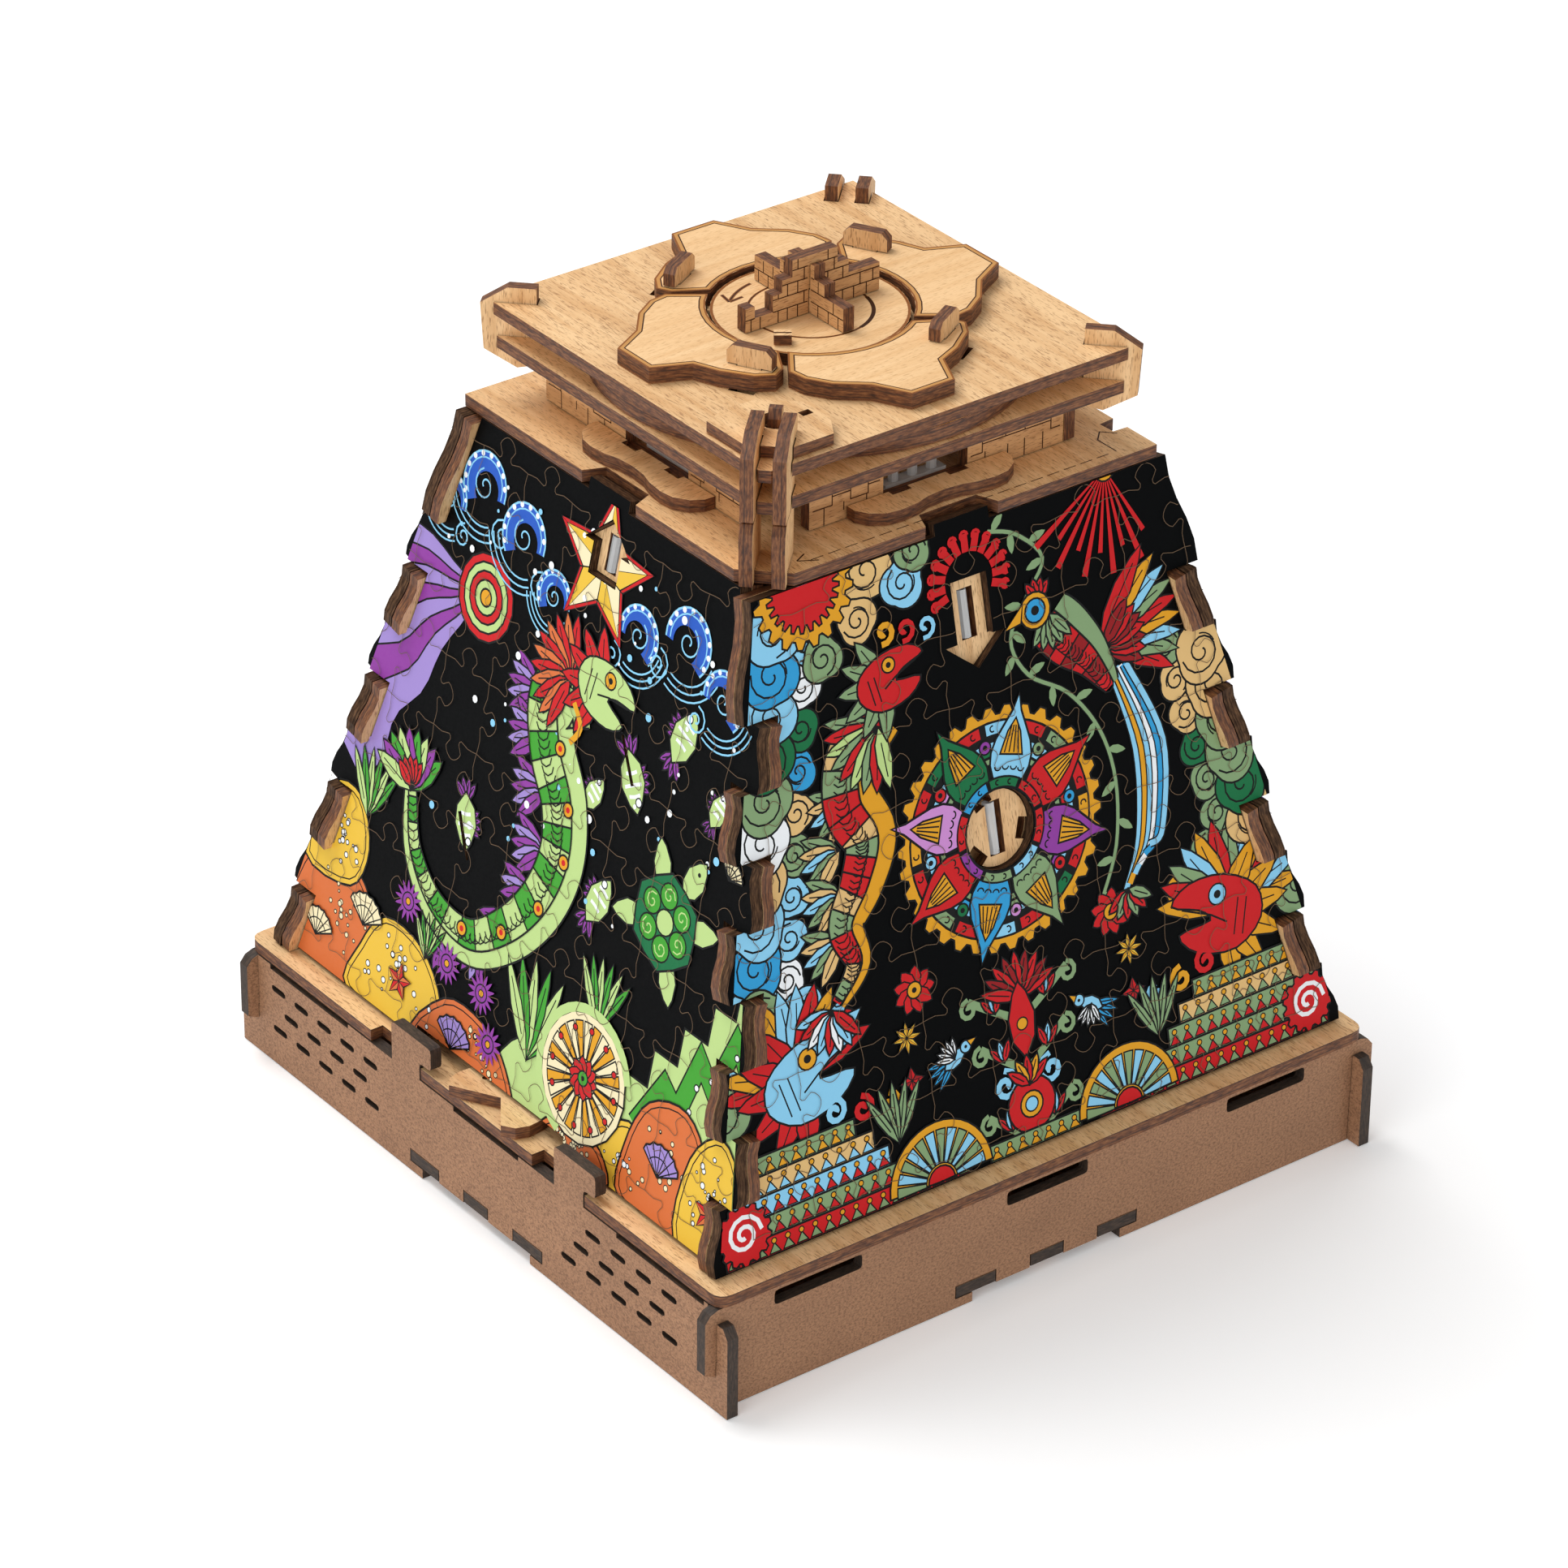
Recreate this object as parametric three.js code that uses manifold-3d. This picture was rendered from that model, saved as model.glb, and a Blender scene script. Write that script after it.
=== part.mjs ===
// Laser-cut wooden puzzle box: a square plinth, a truncated-pyramid lid with printed faces,
// a two-storey cap, and the sliding and turning pieces that lock it.
// Millimetres, +Z up, origin at the bottom centre. The front face looks toward -Y and the
// left face toward -X.
import * as THREE from 'three';
import { mergeVertices } from 'three/addons/utils/BufferGeometryUtils.js';
import Module from 'manifold-3d';

const wasm = await Module();
wasm.setup();

// ---- Driving dimensions ------------------------------------------------------------------

const SHEET = 3.2;
const RUN = 0.3;
const FIT = 0.2;

// Plinth walls: the side walls stand at x = +-SIDE_OUTER, the front and back at y = +-FRONT_OUTER.
const SIDE_OUTER = 100;
const FRONT_OUTER = 99;
const WALL_REACH = 103.3;
const WALL_TOP = 28.8;
const LAP_Z = 14;
const FLOOR_Z = 2.9;
const FLOOR_TABS = [[-28, -16], [-5, 5], [16, 28]];
const FOOT_ARCH = { half: 23, height: 2.6 };
const HOOKS = [-35.5, 33.5];
const HOOK = { stem: 12, lip: 5, underside: 33.8, top: 40 };
const VENT = { length: 6.3, height: 1.8, pitch: 10.3 };
const VENT_ROWS = [
  { z: 22.3, count: 5, left: -86.5, right: 39 },
  { z: 16.3, count: 4, left: -81, right: 44.5 },
  { z: 10.5, count: 5, left: -86.2, right: 39.3 },
];
const SIDE_RELIEFS = [[-90, -55], [-9, 18.5], [59, 94]];
const FRONT_SLOTS = [[-83, -57], [-13, 12], [56, 81]];

// Lid base plate and the fishtail key lying on it.
const BASE_PLATE = { half: 99.8, z: 29.1, corner: 4 };
const HOOK_NOTCHES = [[23.2, 45], [-45.8, -24]];
const KEY_Z = 32.6;

// Sloped faces: outer planes run from half-width 94 at z 32.3 to 59 at z 188.
const FACE = { baseHalf: 94, baseZ: 32.3, topHalf: 59, topZ: 188 };
const FACE_TILT = Math.atan2(FACE.baseHalf - FACE.topHalf, FACE.topZ - FACE.baseZ);
const FINGERS = 9;
const FINGER_PITCH = 16.2;
const FINGER_START = 1;
const FINGER_REACH = 2.6;
const FINGER_WAVE = 0.9;
const FINGER_RECESS = 7.2;
const PRINT_LAYER = { top: 0, bottom: -3.2, start: 1.0, end: 159.2 };
const BACK_LAYER = { top: -3.5, bottom: -6.7, start: 1.8, end: 159.2 };
const WHEEL = { u: 0.5, v: 83, hole: 10, radius: 9.6, top: -2.0, bottom: -5.2 };
const ROD_RADIUS = 1.5;
const ROD_W = -3.1;

// Collar and first storey.
const COLLAR = { half: 59, z: 187.9, nearCut: 76.4, opening: 25 };
const STOREY_Z = 191.4;
const STOREY_TOP = 204.9;
const BRICK_OUTER = 45;
const WINDOW = { half: 12.5, low: 193, high: 203 };

// Cap plates and the rotor between them.
const LOWER_PLATE = { half: 54.5, z: 205.2, nearCut: 75.2 };
const ROTOR = { radius: 53.8, low: 208.9, high: 212.9 };
const TOP_PLATE = { half: 55, z: 214, nearCut: 76.3 };
const FIELD_Z = 217.5;
const CORNER_PLATE_TOP = 220.4;
const PAIR_OFFSET = 3.8;
const LOCK_HOLE = { s: 57.5, radius: 4.3 };

// Dial, stepped cross and petals.
const DIAL = { radius: 23.9, top: 220.4 };
const AXLE = { radius: 2.8, bore: 3.2, low: 208.7, high: 217.2 };
const PETAL_TOP = 221.5;
const PETAL_ARC = 25;
const HANDLE = { angle: -60.8, r: 34.2, length: 11.5, thick: 3.0, neck: 6, low: 213.3, high: 226.5 };
const PETAL_TRAVEL = 4.5;

// ---- Materials ---------------------------------------------------------------------------

const FINISH = {
  ply: { color: 0xe6bf86, roughness: 0.62 },
  mdf: { color: 0xa57c5e, roughness: 0.7 },
  print: { color: 0x16181c, roughness: 0.45 },
  acrylic: { color: 0xdfe6e6, roughness: 0.08 },
};

const group = new THREE.Group();
group.name = 'puzzle_box';

function addPart(name, geometry, finish) {
  const flat = geometry.index ? geometry.toNonIndexed() : geometry;
  flat.computeVertexNormals();
  const material = new THREE.MeshStandardMaterial({ ...FINISH[finish], metalness: 0 });
  const mesh = new THREE.Mesh(flat, material);
  mesh.name = name;
  group.add(mesh);
}

// ---- Solid helpers -----------------------------------------------------------------------

function toSolid(geometry) {
  const bare = geometry.clone();
  bare.deleteAttribute('normal');
  bare.deleteAttribute('uv');
  const merged = mergeVertices(bare, 1e-4);
  return new wasm.Manifold(new wasm.Mesh({
    numProp: 3,
    vertProperties: new Float32Array(merged.attributes.position.array),
    triVerts: new Uint32Array(merged.index.array),
  }));
}

function fromSolid(solid) {
  const mesh = solid.getMesh();
  const geometry = new THREE.BufferGeometry();
  geometry.setAttribute('position', new THREE.BufferAttribute(mesh.vertProperties, 3));
  geometry.setIndex(new THREE.BufferAttribute(mesh.triVerts, 1));
  return geometry;
}

function cut(base, tools) {
  let solid = toSolid(base);
  for (const tool of tools) {
    solid = solid.subtract(toSolid(tool));
  }
  return fromSolid(solid);
}

function join(pieces) {
  let solid = toSolid(pieces[0]);
  for (const piece of pieces.slice(1)) {
    solid = solid.add(toSolid(piece));
  }
  return fromSolid(solid);
}

// A flat sheet cut to an outline, lying between z = low and z = high.
function sheet(points, low, high, holes = []) {
  const shape = new THREE.Shape(points.map(([x, y]) => new THREE.Vector2(x, y)));
  for (const hole of holes) {
    shape.holes.push(new THREE.Path(hole.map(([x, y]) => new THREE.Vector2(x, y))));
  }
  const geometry = new THREE.ExtrudeGeometry(shape, { depth: high - low, bevelEnabled: false });
  return geometry.translate(0, 0, low);
}

function box(x0, x1, y0, y1, z0, z1) {
  const geometry = new THREE.BoxGeometry(x1 - x0, y1 - y0, z1 - z0);
  return geometry.translate((x0 + x1) / 2, (y0 + y1) / 2, (z0 + z1) / 2);
}

function rectangle(x0, x1, y0, y1) {
  return [[x0, y0], [x1, y0], [x1, y1], [x0, y1]];
}

function arc(cx, cy, radius, from, to, steps) {
  const points = [];
  for (let i = 0; i <= steps; i += 1) {
    const angle = THREE.MathUtils.degToRad(from + ((to - from) * i) / steps);
    points.push([cx + radius * Math.cos(angle), cy + radius * Math.sin(angle)]);
  }
  return points;
}

function circle(cx, cy, radius, steps) {
  return arc(cx, cy, radius, 0, 360, steps).slice(0, -1);
}

// The outline with every corner rounded off over the given length of each edge.
function rounded(points, radius, steps = 3) {
  const result = [];
  points.forEach(([x, y], i) => {
    const before = points[(i + points.length - 1) % points.length];
    const after = points[(i + 1) % points.length];
    const ends = [before, after].map(([ox, oy]) => {
      const length = Math.hypot(ox - x, oy - y);
      const reach = Math.min(radius, length * 0.49) / length;
      return [x + (ox - x) * reach, y + (oy - y) * reach];
    });
    for (let k = 0; k <= steps; k += 1) {
      const t = k / steps;
      const [a, b, c] = [(1 - t) ** 2, 2 * t * (1 - t), t ** 2];
      result.push([
        a * ends[0][0] + b * x + c * ends[1][0],
        a * ends[0][1] + b * y + c * ends[1][1],
      ]);
    }
  });
  return result;
}

// Completes a symmetric outline from its right half, listed from bottom to top.
function mirrored(rightHalf) {
  const leftHalf = rightHalf.map(([x, y]) => [-x, y]).reverse();
  return [...rightHalf, ...leftHalf];
}

// Turns a piece drawn for the front onto side 0 front, 1 right, 2 back, 3 left.
function turn(geometry, side) {
  return geometry.rotateZ((side * Math.PI) / 2);
}

// Stands a sheet drawn as (along the wall, height) up with its outer face at the given distance.
function standWall(geometry, side, outer) {
  return turn(geometry.rotateX(Math.PI / 2).translate(0, SHEET - outer, 0), side);
}

// Lays a sheet drawn as (across, up the slope, outward) onto one sloped face.
function layOnFace(geometry, side) {
  const sloped = geometry.rotateX(Math.PI / 2 - FACE_TILT);
  return turn(sloped.translate(0, -FACE.baseHalf, FACE.baseZ), side);
}

// Stands a sheet drawn as (distance from the centre, height) along a diagonal of the box.
function standRadial(points, angle, offset, thickness = SHEET) {
  const geometry = sheet(points, -thickness / 2, thickness / 2).rotateX(Math.PI / 2);
  return geometry.translate(0, offset, 0).rotateZ(THREE.MathUtils.degToRad(angle));
}

// ---- Plinth ------------------------------------------------------------------------------

function footCuts() {
  const slots = FLOOR_TABS.map(([a, b]) => (
    box(a - RUN, b + RUN, FLOOR_Z - RUN, FLOOR_Z + SHEET + RUN, -1, SHEET + 1)));
  return [box(-FOOT_ARCH.half, FOOT_ARCH.half, -1, FOOT_ARCH.height, -1, SHEET + 1), ...slots];
}

function ventHole(u, z) {
  const straight = (VENT.length - VENT.height) / 2;
  const r = VENT.height / 2;
  return [...arc(u + straight, z, r, -90, 90, 3), ...arc(u - straight, z, r, 90, 270, 3)];
}

function ventHoles() {
  const holes = [];
  for (const row of VENT_ROWS) {
    for (let i = 0; i < row.count; i += 1) {
      holes.push(ventHole(row.left + i * VENT.pitch, row.z));
      holes.push(ventHole(row.right + i * VENT.pitch, row.z));
    }
  }
  return holes;
}

function hookBlank(start) {
  const stemEnd = start + HOOK.stem;
  const outline = [
    [start, 20], [stemEnd, 20], [stemEnd, HOOK.underside],
    [stemEnd + HOOK.lip, HOOK.underside], [stemEnd + HOOK.lip, HOOK.top], [start, HOOK.top],
  ];
  return sheet(rounded(outline, 1.2, 2), 0, SHEET);
}

// Side walls lap the front and back walls from below and carry the hooks that hold the lid.
function sideWall() {
  const outline = mirrored([
    [WALL_REACH, 0], [WALL_REACH, 22.5], [WALL_REACH - 1.8, 25], [FRONT_OUTER + FIT, 25],
    [FRONT_OUTER + FIT, LAP_Z], [FRONT_OUTER - SHEET - FIT, LAP_Z],
    [FRONT_OUTER - SHEET - FIT, WALL_TOP],
  ]);
  const wall = join([sheet(outline, 0, SHEET, ventHoles()), ...HOOKS.map(hookBlank)]);
  const reliefs = SIDE_RELIEFS.map(([a, b]) => box(a, b, 27.5, 32, -1, SHEET + 1));
  return cut(wall, [...footCuts(), ...reliefs]);
}

// Front and back walls drop over the side walls from above.
function frontWall() {
  const inner = SIDE_OUTER - SHEET - FIT;
  const outer = SIDE_OUTER + FIT;
  const outline = mirrored([
    [inner, 0], [inner, LAP_Z + FIT], [outer, LAP_Z + FIT], [outer, 10], [WALL_REACH, 11.5],
    [WALL_REACH, 26], [WALL_REACH - 1.6, 28], [outer - 0.8, WALL_TOP],
  ]);
  const slots = FRONT_SLOTS.map(([a, b]) => (
    sheet(rounded(rectangle(a, b, 23.5, 27.6), 1, 2), -1, SHEET + 1)));
  return cut(sheet(outline, 0, SHEET), [...footCuts(), ...slots]);
}

function plinthFloor() {
  const halfX = SIDE_OUTER - SHEET - RUN;
  const halfY = FRONT_OUTER - SHEET - RUN;
  const top = FLOOR_Z + SHEET;
  const pieces = [box(-halfX, halfX, -halfY, halfY, FLOOR_Z, top)];
  for (const [a, b] of FLOOR_TABS) {
    pieces.push(box(-SIDE_OUTER, SIDE_OUTER, a, b, FLOOR_Z, top));
    pieces.push(box(a, b, -FRONT_OUTER, FRONT_OUTER, FLOOR_Z, top));
  }
  return join(pieces);
}

function buildPlinth() {
  addPart('plinth_wall_front', standWall(frontWall(), 0, FRONT_OUTER), 'mdf');
  addPart('plinth_wall_back', standWall(frontWall(), 2, FRONT_OUTER), 'mdf');
  const left = standWall(sideWall(), 3, SIDE_OUTER);
  const right = left.clone().translate(2 * SIDE_OUTER - SHEET, 0, 0);
  addPart('plinth_wall_left', left, 'mdf');
  addPart('plinth_wall_right', right, 'mdf');
  addPart('plinth_floor', plinthFloor(), 'mdf');
}

// ---- Lid base plate and key --------------------------------------------------------------

function basePlate() {
  const { half, z, corner } = BASE_PLATE;
  const blank = sheet(rounded(rectangle(-half, half, -half, half), corner, 4), z, z + SHEET);
  const notches = [];
  for (const [a, b] of HOOK_NOTCHES) {
    notches.push(box(-half - 1, -96.2, a, b, z - 1, z + SHEET + 1));
    notches.push(box(96.2, half + 1, a, b, z - 1, z + SHEET + 1));
  }
  return cut(blank, notches);
}

// The key is a long tongue whose fishtail sticks out from under the left face.
function slideKey() {
  const outline = [
    [-94.5, -3.5], [-101.5, -13.5], [-99.4, -16.6], [-96, -17.8], [-92, -17.4], [-88, -16.2],
    [-84, -15.8], [-58, -15.8], [-58, 10.2], [-84, 10.2], [-88, 10.6], [-92, 11.8],
    [-96, 12], [-99.6, 11], [-101.5, 8.5],
  ];
  return sheet(outline, KEY_Z, KEY_Z + SHEET, [circle(-92.5, 6, 0.8, 6)]);
}

// ---- Sloped faces ------------------------------------------------------------------------

function cornerLine(v) {
  return FACE.baseHalf - v * Math.sin(FACE_TILT);
}

function fingerSpan(k, layer) {
  const low = k === 0 ? layer.start : FINGER_START + k * FINGER_PITCH;
  const high = k === FINGERS - 1 ? layer.end : FINGER_START + (k + 1) * FINGER_PITCH;
  return [low, high];
}

// Right-hand edge of a face: wavy fingers on every other step, plain recesses between them.
function fingerEdge(parity, layer) {
  const points = [];
  for (let k = 0; k < FINGERS; k += 1) {
    const [low, high] = fingerSpan(k, layer);
    if (k % 2 === parity) {
      for (let i = 0; i <= 5; i += 1) {
        const v = low + ((high - low) * i) / 5;
        const wave = FINGER_WAVE * Math.sin((2 * Math.PI * i) / 5);
        points.push([cornerLine(v) + FINGER_REACH + wave, v]);
      }
    } else {
      points.push([cornerLine(low) - FINGER_RECESS, low]);
      points.push([cornerLine(high) - FINGER_RECESS, high]);
    }
  }
  return points;
}

function faceBlank(parity, layer) {
  return sheet(mirrored(fingerEdge(parity, layer)), layer.bottom, layer.top);
}

// Room that the front and back fingers need where they pass through the side faces.
function fingerRoom() {
  const pieces = [];
  for (const side of [0, 2]) {
    for (const hand of [-1, 1]) {
      for (let k = 0; k < FINGERS; k += 2) {
        const low = FINGER_START + k * FINGER_PITCH - (k === 0 ? 4 : RUN);
        const high = FINGER_START + (k + 1) * FINGER_PITCH + RUN;
        const outline = [
          [cornerLine(low) - 12, low], [cornerLine(low) + 8, low],
          [cornerLine(high) + 8, high], [cornerLine(high) - 12, high],
        ].map(([u, v]) => [hand * u, v]);
        pieces.push(layOnFace(sheet(hand > 0 ? outline : outline.reverse(), -7, 6), side));
      }
    }
  }
  return join(pieces);
}

// A broad arrow pointing up, drawn from its tip; grow widens it all round for the opening.
function arrowOutline({ u, tip, direction, length }, grow) {
  const head = 8.3;
  const stem = 5;
  const outline = [
    [0, grow * 1.5], [head + grow * 1.5, -6.6 - grow], [stem + grow, -6.6 - grow],
    [stem + grow, -length - grow], [-stem - grow, -length - grow], [-stem - grow, -6.6 - grow],
    [-head - grow * 1.5, -6.6 - grow],
  ];
  const placed = outline.map(([x, y]) => [u + x, tip + y * direction]);
  return direction > 0 ? placed.reverse() : placed;
}

const ARROWS = {
  front: { side: 0, u: 0, tip: 124.5, direction: -1, length: 22, rod: [131.5, 143.5] },
  left: { side: 3, u: 3.2, tip: 155, direction: 1, length: 14.5, rod: [142, 151] },
};

function arrowHole(arrow) {
  return sheet(arrowOutline(arrow, RUN), -8, 1);
}

// Thin angled slits for sliding ornaments on the left face.
function slit(u0, v0, u1, v1) {
  const length = Math.hypot(u1 - u0, v1 - v0);
  const [du, dv] = [(v0 - v1) / length / 2, (u1 - u0) / length / 2];
  const outline = [
    [u0 - du, v0 - dv], [u1 - du, v1 - dv], [u1 + du, v1 + dv], [u0 + du, v0 + dv],
  ];
  return sheet(outline, -8, 1);
}

// Only the printed layer has the tongue that reaches up through the collar notch.
function faceTongue() {
  return sheet(rectangle(-8, 8, 150, 162.2), PRINT_LAYER.bottom, PRINT_LAYER.top);
}

function faceOpenings(side) {
  if (side === 0) {
    return [sheet(circle(WHEEL.u, WHEEL.v, WHEEL.hole, 32), -8, 1), arrowHole(ARROWS.front)];
  }
  if (side === 3) {
    return [
      arrowHole(ARROWS.left), slit(21, 108, 28, 98), slit(-33, 63, -27, 53),
      box(-34, 28, -2, 4.5, -3.4, 1), box(-34, 28, -2, 5.8, -8, -3.3),
    ];
  }
  return [];
}

function buildFaces() {
  const names = ['front', 'right', 'back', 'left'];
  const room = fingerRoom();
  names.forEach((name, side) => {
    const openings = faceOpenings(side);
    const printed = cut(join([faceBlank(side % 2, PRINT_LAYER), faceTongue()]), openings);
    const backing = cut(faceBlank(side % 2, BACK_LAYER), openings);
    for (const [prefix, geometry, finish] of [
      ['face', printed, 'print'], ['backing', backing, 'ply'],
    ]) {
      const laid = layOnFace(geometry, side);
      addPart(`${prefix}_${name}`, side % 2 ? cut(laid, [room]) : laid, finish);
    }
  });
}

// ---- Wheel and arrows set into the faces -------------------------------------------------

function rodAlongFace(u, v0, v1) {
  const rod = new THREE.CylinderGeometry(ROD_RADIUS, ROD_RADIUS, v1 - v0, 10);
  return rod.translate(u, (v0 + v1) / 2, ROD_W);
}

function rodSlot(u, v0, v1) {
  return sheet(rectangle(u - 1.8, u + 2.7, v0 - RUN, v1 + RUN), -6, 1);
}

function buildWheel() {
  const { u, v, radius, top, bottom } = WHEEL;
  const notches = [112, 222, -18].map((angle) => {
    const notch = sheet(rectangle(6.6, 11, -2.7, 2.7), bottom - 1, top + 1);
    return notch.rotateZ(THREE.MathUtils.degToRad(angle)).translate(u, v, 0);
  });
  const disc = sheet(circle(u, v, radius, 32), bottom, top);
  const slot = rodSlot(u - 0.5, 76.5, 89.5);
  addPart('wheel_disc', layOnFace(cut(disc, [...notches, slot]), 0), 'ply');
  addPart('wheel_rod', layOnFace(rodAlongFace(u - 0.5, 76.5, 89.5), 0), 'acrylic');
  const retainer = join([
    sheet(circle(u, v, 3, 12), -7.2, bottom - RUN),
    sheet(circle(u, v, 12, 24), -10.2, -7.0),
  ]);
  addPart('wheel_retainer', layOnFace(retainer, 0), 'ply');
}

function buildArrows() {
  for (const [name, arrow] of Object.entries(ARROWS)) {
    const { side, u, rod } = arrow;
    const blank = sheet(arrowOutline(arrow, 0), WHEEL.bottom, WHEEL.top);
    const plate = cut(blank, [rodSlot(u - 0.6, ...rod)]);
    addPart(`arrow_${name}`, layOnFace(plate, side), 'ply');
    addPart(`arrow_rod_${name}`, layOnFace(rodAlongFace(u - 0.6, ...rod), side), 'acrylic');
  }
}

// ---- Collar and first storey -------------------------------------------------------------

// Square plate whose near corner, toward -X -Y, is cut off at a distance from the centre.
function cappedSquare(half, nearCut) {
  const leg = 2 * half - nearCut * Math.SQRT2;
  return [[-half + leg, -half], [half, -half], [half, half], [-half, half], [-half, -half + leg]];
}

function buildCollar() {
  const { half, z, nearCut, opening } = COLLAR;
  const blank = sheet(cappedSquare(half, nearCut), z, z + SHEET, [circle(0, 0, opening, 24)]);
  const notches = [0, 1, 2, 3].map((side) => {
    const outline = [[-11.2, -half - 1], [11.2, -half - 1], [8.5, -53.5], [-8.5, -53.5]];
    return turn(sheet(outline, z - 1, z + SHEET + 1), side);
  });
  const nick = [[half + 1, -48], [half + 1, -42.5], [54.5, -43], [54.8, -47.7]];
  addPart('collar_plate', cut(blank, [...notches, sheet(nick, z - 1, z + SHEET + 1)]), 'ply');
}

function buildLatches() {
  const half = [
    [5, -52.5], [9, -53.7], [14, -54.2], [18, -53.6], [21.5, -51.3], [23.3, -48.2], [23.4, -45.4],
    [11.3, -45.4], [11.3, -47.2], [5.7, -47.2], [5.7, -45.4],
  ];
  const outline = [[0, -52.1], ...half, ...half.map(([x, y]) => [-x, y]).reverse()];
  ['front', 'right', 'back', 'left'].forEach((name, side) => {
    const tab = sheet(outline, STOREY_Z, STOREY_Z + SHEET);
    addPart(`latch_${name}`, turn(tab, side), 'ply');
  });
}

function buildBrickWalls() {
  const inner = BRICK_OUTER - SHEET - RUN;
  const open = 34.2;
  const spans = {
    front: [-open, inner], right: [-BRICK_OUTER, BRICK_OUTER],
    back: [-inner, inner], left: [-BRICK_OUTER, open],
  };
  Object.entries(spans).forEach(([name, [from, to]], side) => {
    const window = rectangle(-WINDOW.half, WINDOW.half, WINDOW.low, WINDOW.high);
    const wall = sheet(rectangle(from, to, STOREY_Z, STOREY_TOP), 0, SHEET, [window]);
    addPart(`brick_wall_${name}`, standWall(wall, side, BRICK_OUTER), 'ply');
  });
}

// Clear pins standing in a row behind a window.
function buildPinRacks() {
  for (const [name, side] of [['front', 0], ['left', 3]]) {
    const depth = -BRICK_OUTER + SHEET + 2;
    const pieces = [box(-9, 9, depth - 1.6, depth + 1.6, STOREY_Z, 193.6)];
    for (const x of [-5.7, 0, 5.7]) {
      pieces.push(sheet(circle(x, depth, 1.3, 8), 193.2, 203.4));
    }
    addPart(`pin_rack_${name}`, turn(join(pieces), side), 'acrylic');
  }
}

function buildNearClamps() {
  const outline = [
    [66, STOREY_Z], [76.7, STOREY_Z], [76.7, 188.4], [79.6, 188.4], [79.6, 191.6],
    [80.2, 193.8], [80.5, 199], [80.2, 202.3], [78.6, 204.2], [76.8, 204.7], [66, 204.7],
  ];
  addPart('lower_clamp_left', standRadial(outline, -135, -PAIR_OFFSET), 'ply');
  addPart('lower_clamp_right', standRadial(outline, -135, PAIR_OFFSET), 'ply');
}

// ---- Cap ---------------------------------------------------------------------------------

const BRACKETS = [
  { name: 'bracket_left', angle: 135, offset: 0 },
  { name: 'bracket_right', angle: -45, offset: 0 },
  { name: 'bracket_far_a', angle: 45, offset: -PAIR_OFFSET },
  { name: 'bracket_far_b', angle: 45, offset: PAIR_OFFSET },
  { name: 'bracket_near_a', angle: -135, offset: -PAIR_OFFSET },
  { name: 'bracket_near_b', angle: -135, offset: PAIR_OFFSET },
];
const BRACKET_INNER = 65.5;

// Open slots that let the brackets pass into a plate from its corners.
function bracketSlots(brackets, low, high) {
  return brackets.map(({ angle, offset }) => {
    const half = SHEET / 2 + RUN;
    const slot = box(BRACKET_INNER - RUN, 90, offset - half, offset + half, low - 1, high + 1);
    return slot.rotateZ(THREE.MathUtils.degToRad(angle));
  });
}

function lockHole(low, high) {
  const hole = sheet(circle(LOCK_HOLE.s, 0, LOCK_HOLE.radius, 16), low - 1, high + 1);
  return hole.rotateZ(THREE.MathUtils.degToRad(-135));
}

function handleSlot(inward, outward, low, high) {
  const half = HANDLE.neck / 2 + RUN;
  const reach = HANDLE.thick / 2 + RUN;
  const slot = box(
    HANDLE.r - reach - inward, HANDLE.r + reach + outward, -half, half, low - 1, high + 1);
  return slot.rotateZ(THREE.MathUtils.degToRad(HANDLE.angle));
}

function buildCapPlates() {
  const lower = sheet(
    cappedSquare(LOWER_PLATE.half, LOWER_PLATE.nearCut), LOWER_PLATE.z, LOWER_PLATE.z + SHEET);
  const lowerSlots = bracketSlots(BRACKETS, LOWER_PLATE.z, LOWER_PLATE.z + SHEET);
  addPart('cap_lower_plate', cut(lower, lowerSlots), 'ply');

  const [low, high] = [TOP_PLATE.z, TOP_PLATE.z + SHEET];
  const top = sheet(
    cappedSquare(TOP_PLATE.half, TOP_PLATE.nearCut), low, high, [circle(0, 0, AXLE.bore, 16)]);
  const openings = [...bracketSlots(BRACKETS, low, high), lockHole(low, high)];
  for (let side = 0; side < 4; side += 1) {
    openings.push(turn(handleSlot(0, PETAL_TRAVEL, low, high), side));
  }
  addPart('cap_top_plate', cut(top, openings), 'ply');
}

// Second layer over the near corner, ringing the lock pin.
function buildCornerPlate() {
  const outline = [
    [-33.9, -53.5], [-28.8, -45.2], [-28.8, -38], [-38, -29.4], [-46.5, -29], [-53.9, -31.5],
    [-53.9, -45.66], [-46.06, -53.5],
  ];
  const blank = sheet(outline.reverse(), FIELD_Z, CORNER_PLATE_TOP);
  const near = BRACKETS.filter(({ angle }) => angle === -135);
  const peg = sheet(rectangle(-34.4, -31.4, -42.6, -40.4), FIELD_Z - 1, CORNER_PLATE_TOP + 1);
  const openings = [
    ...bracketSlots(near, FIELD_Z, CORNER_PLATE_TOP), lockHole(FIELD_Z, CORNER_PLATE_TOP), peg,
  ];
  addPart('corner_plate', cut(blank, openings), 'ply');
}

function buildBrackets() {
  const common = [
    [BRACKET_INNER, 201], [70.4, 200], [78.5, 204.6], [79.2, 216.8], [72.5, 221.2],
    [BRACKET_INNER, 221.2],
  ];
  const near = [
    [BRACKET_INNER, 205.0], [79.3, 205.0], [79.3, 221.2], [72, 224.8], [61.5, 224.8],
    [61.5, CORNER_PLATE_TOP + RUN], [BRACKET_INNER, CORNER_PLATE_TOP + RUN],
  ];
  for (const { name, angle, offset } of BRACKETS) {
    addPart(name, standRadial(angle === -135 ? near : common, angle, offset), 'ply');
  }
}

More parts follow.
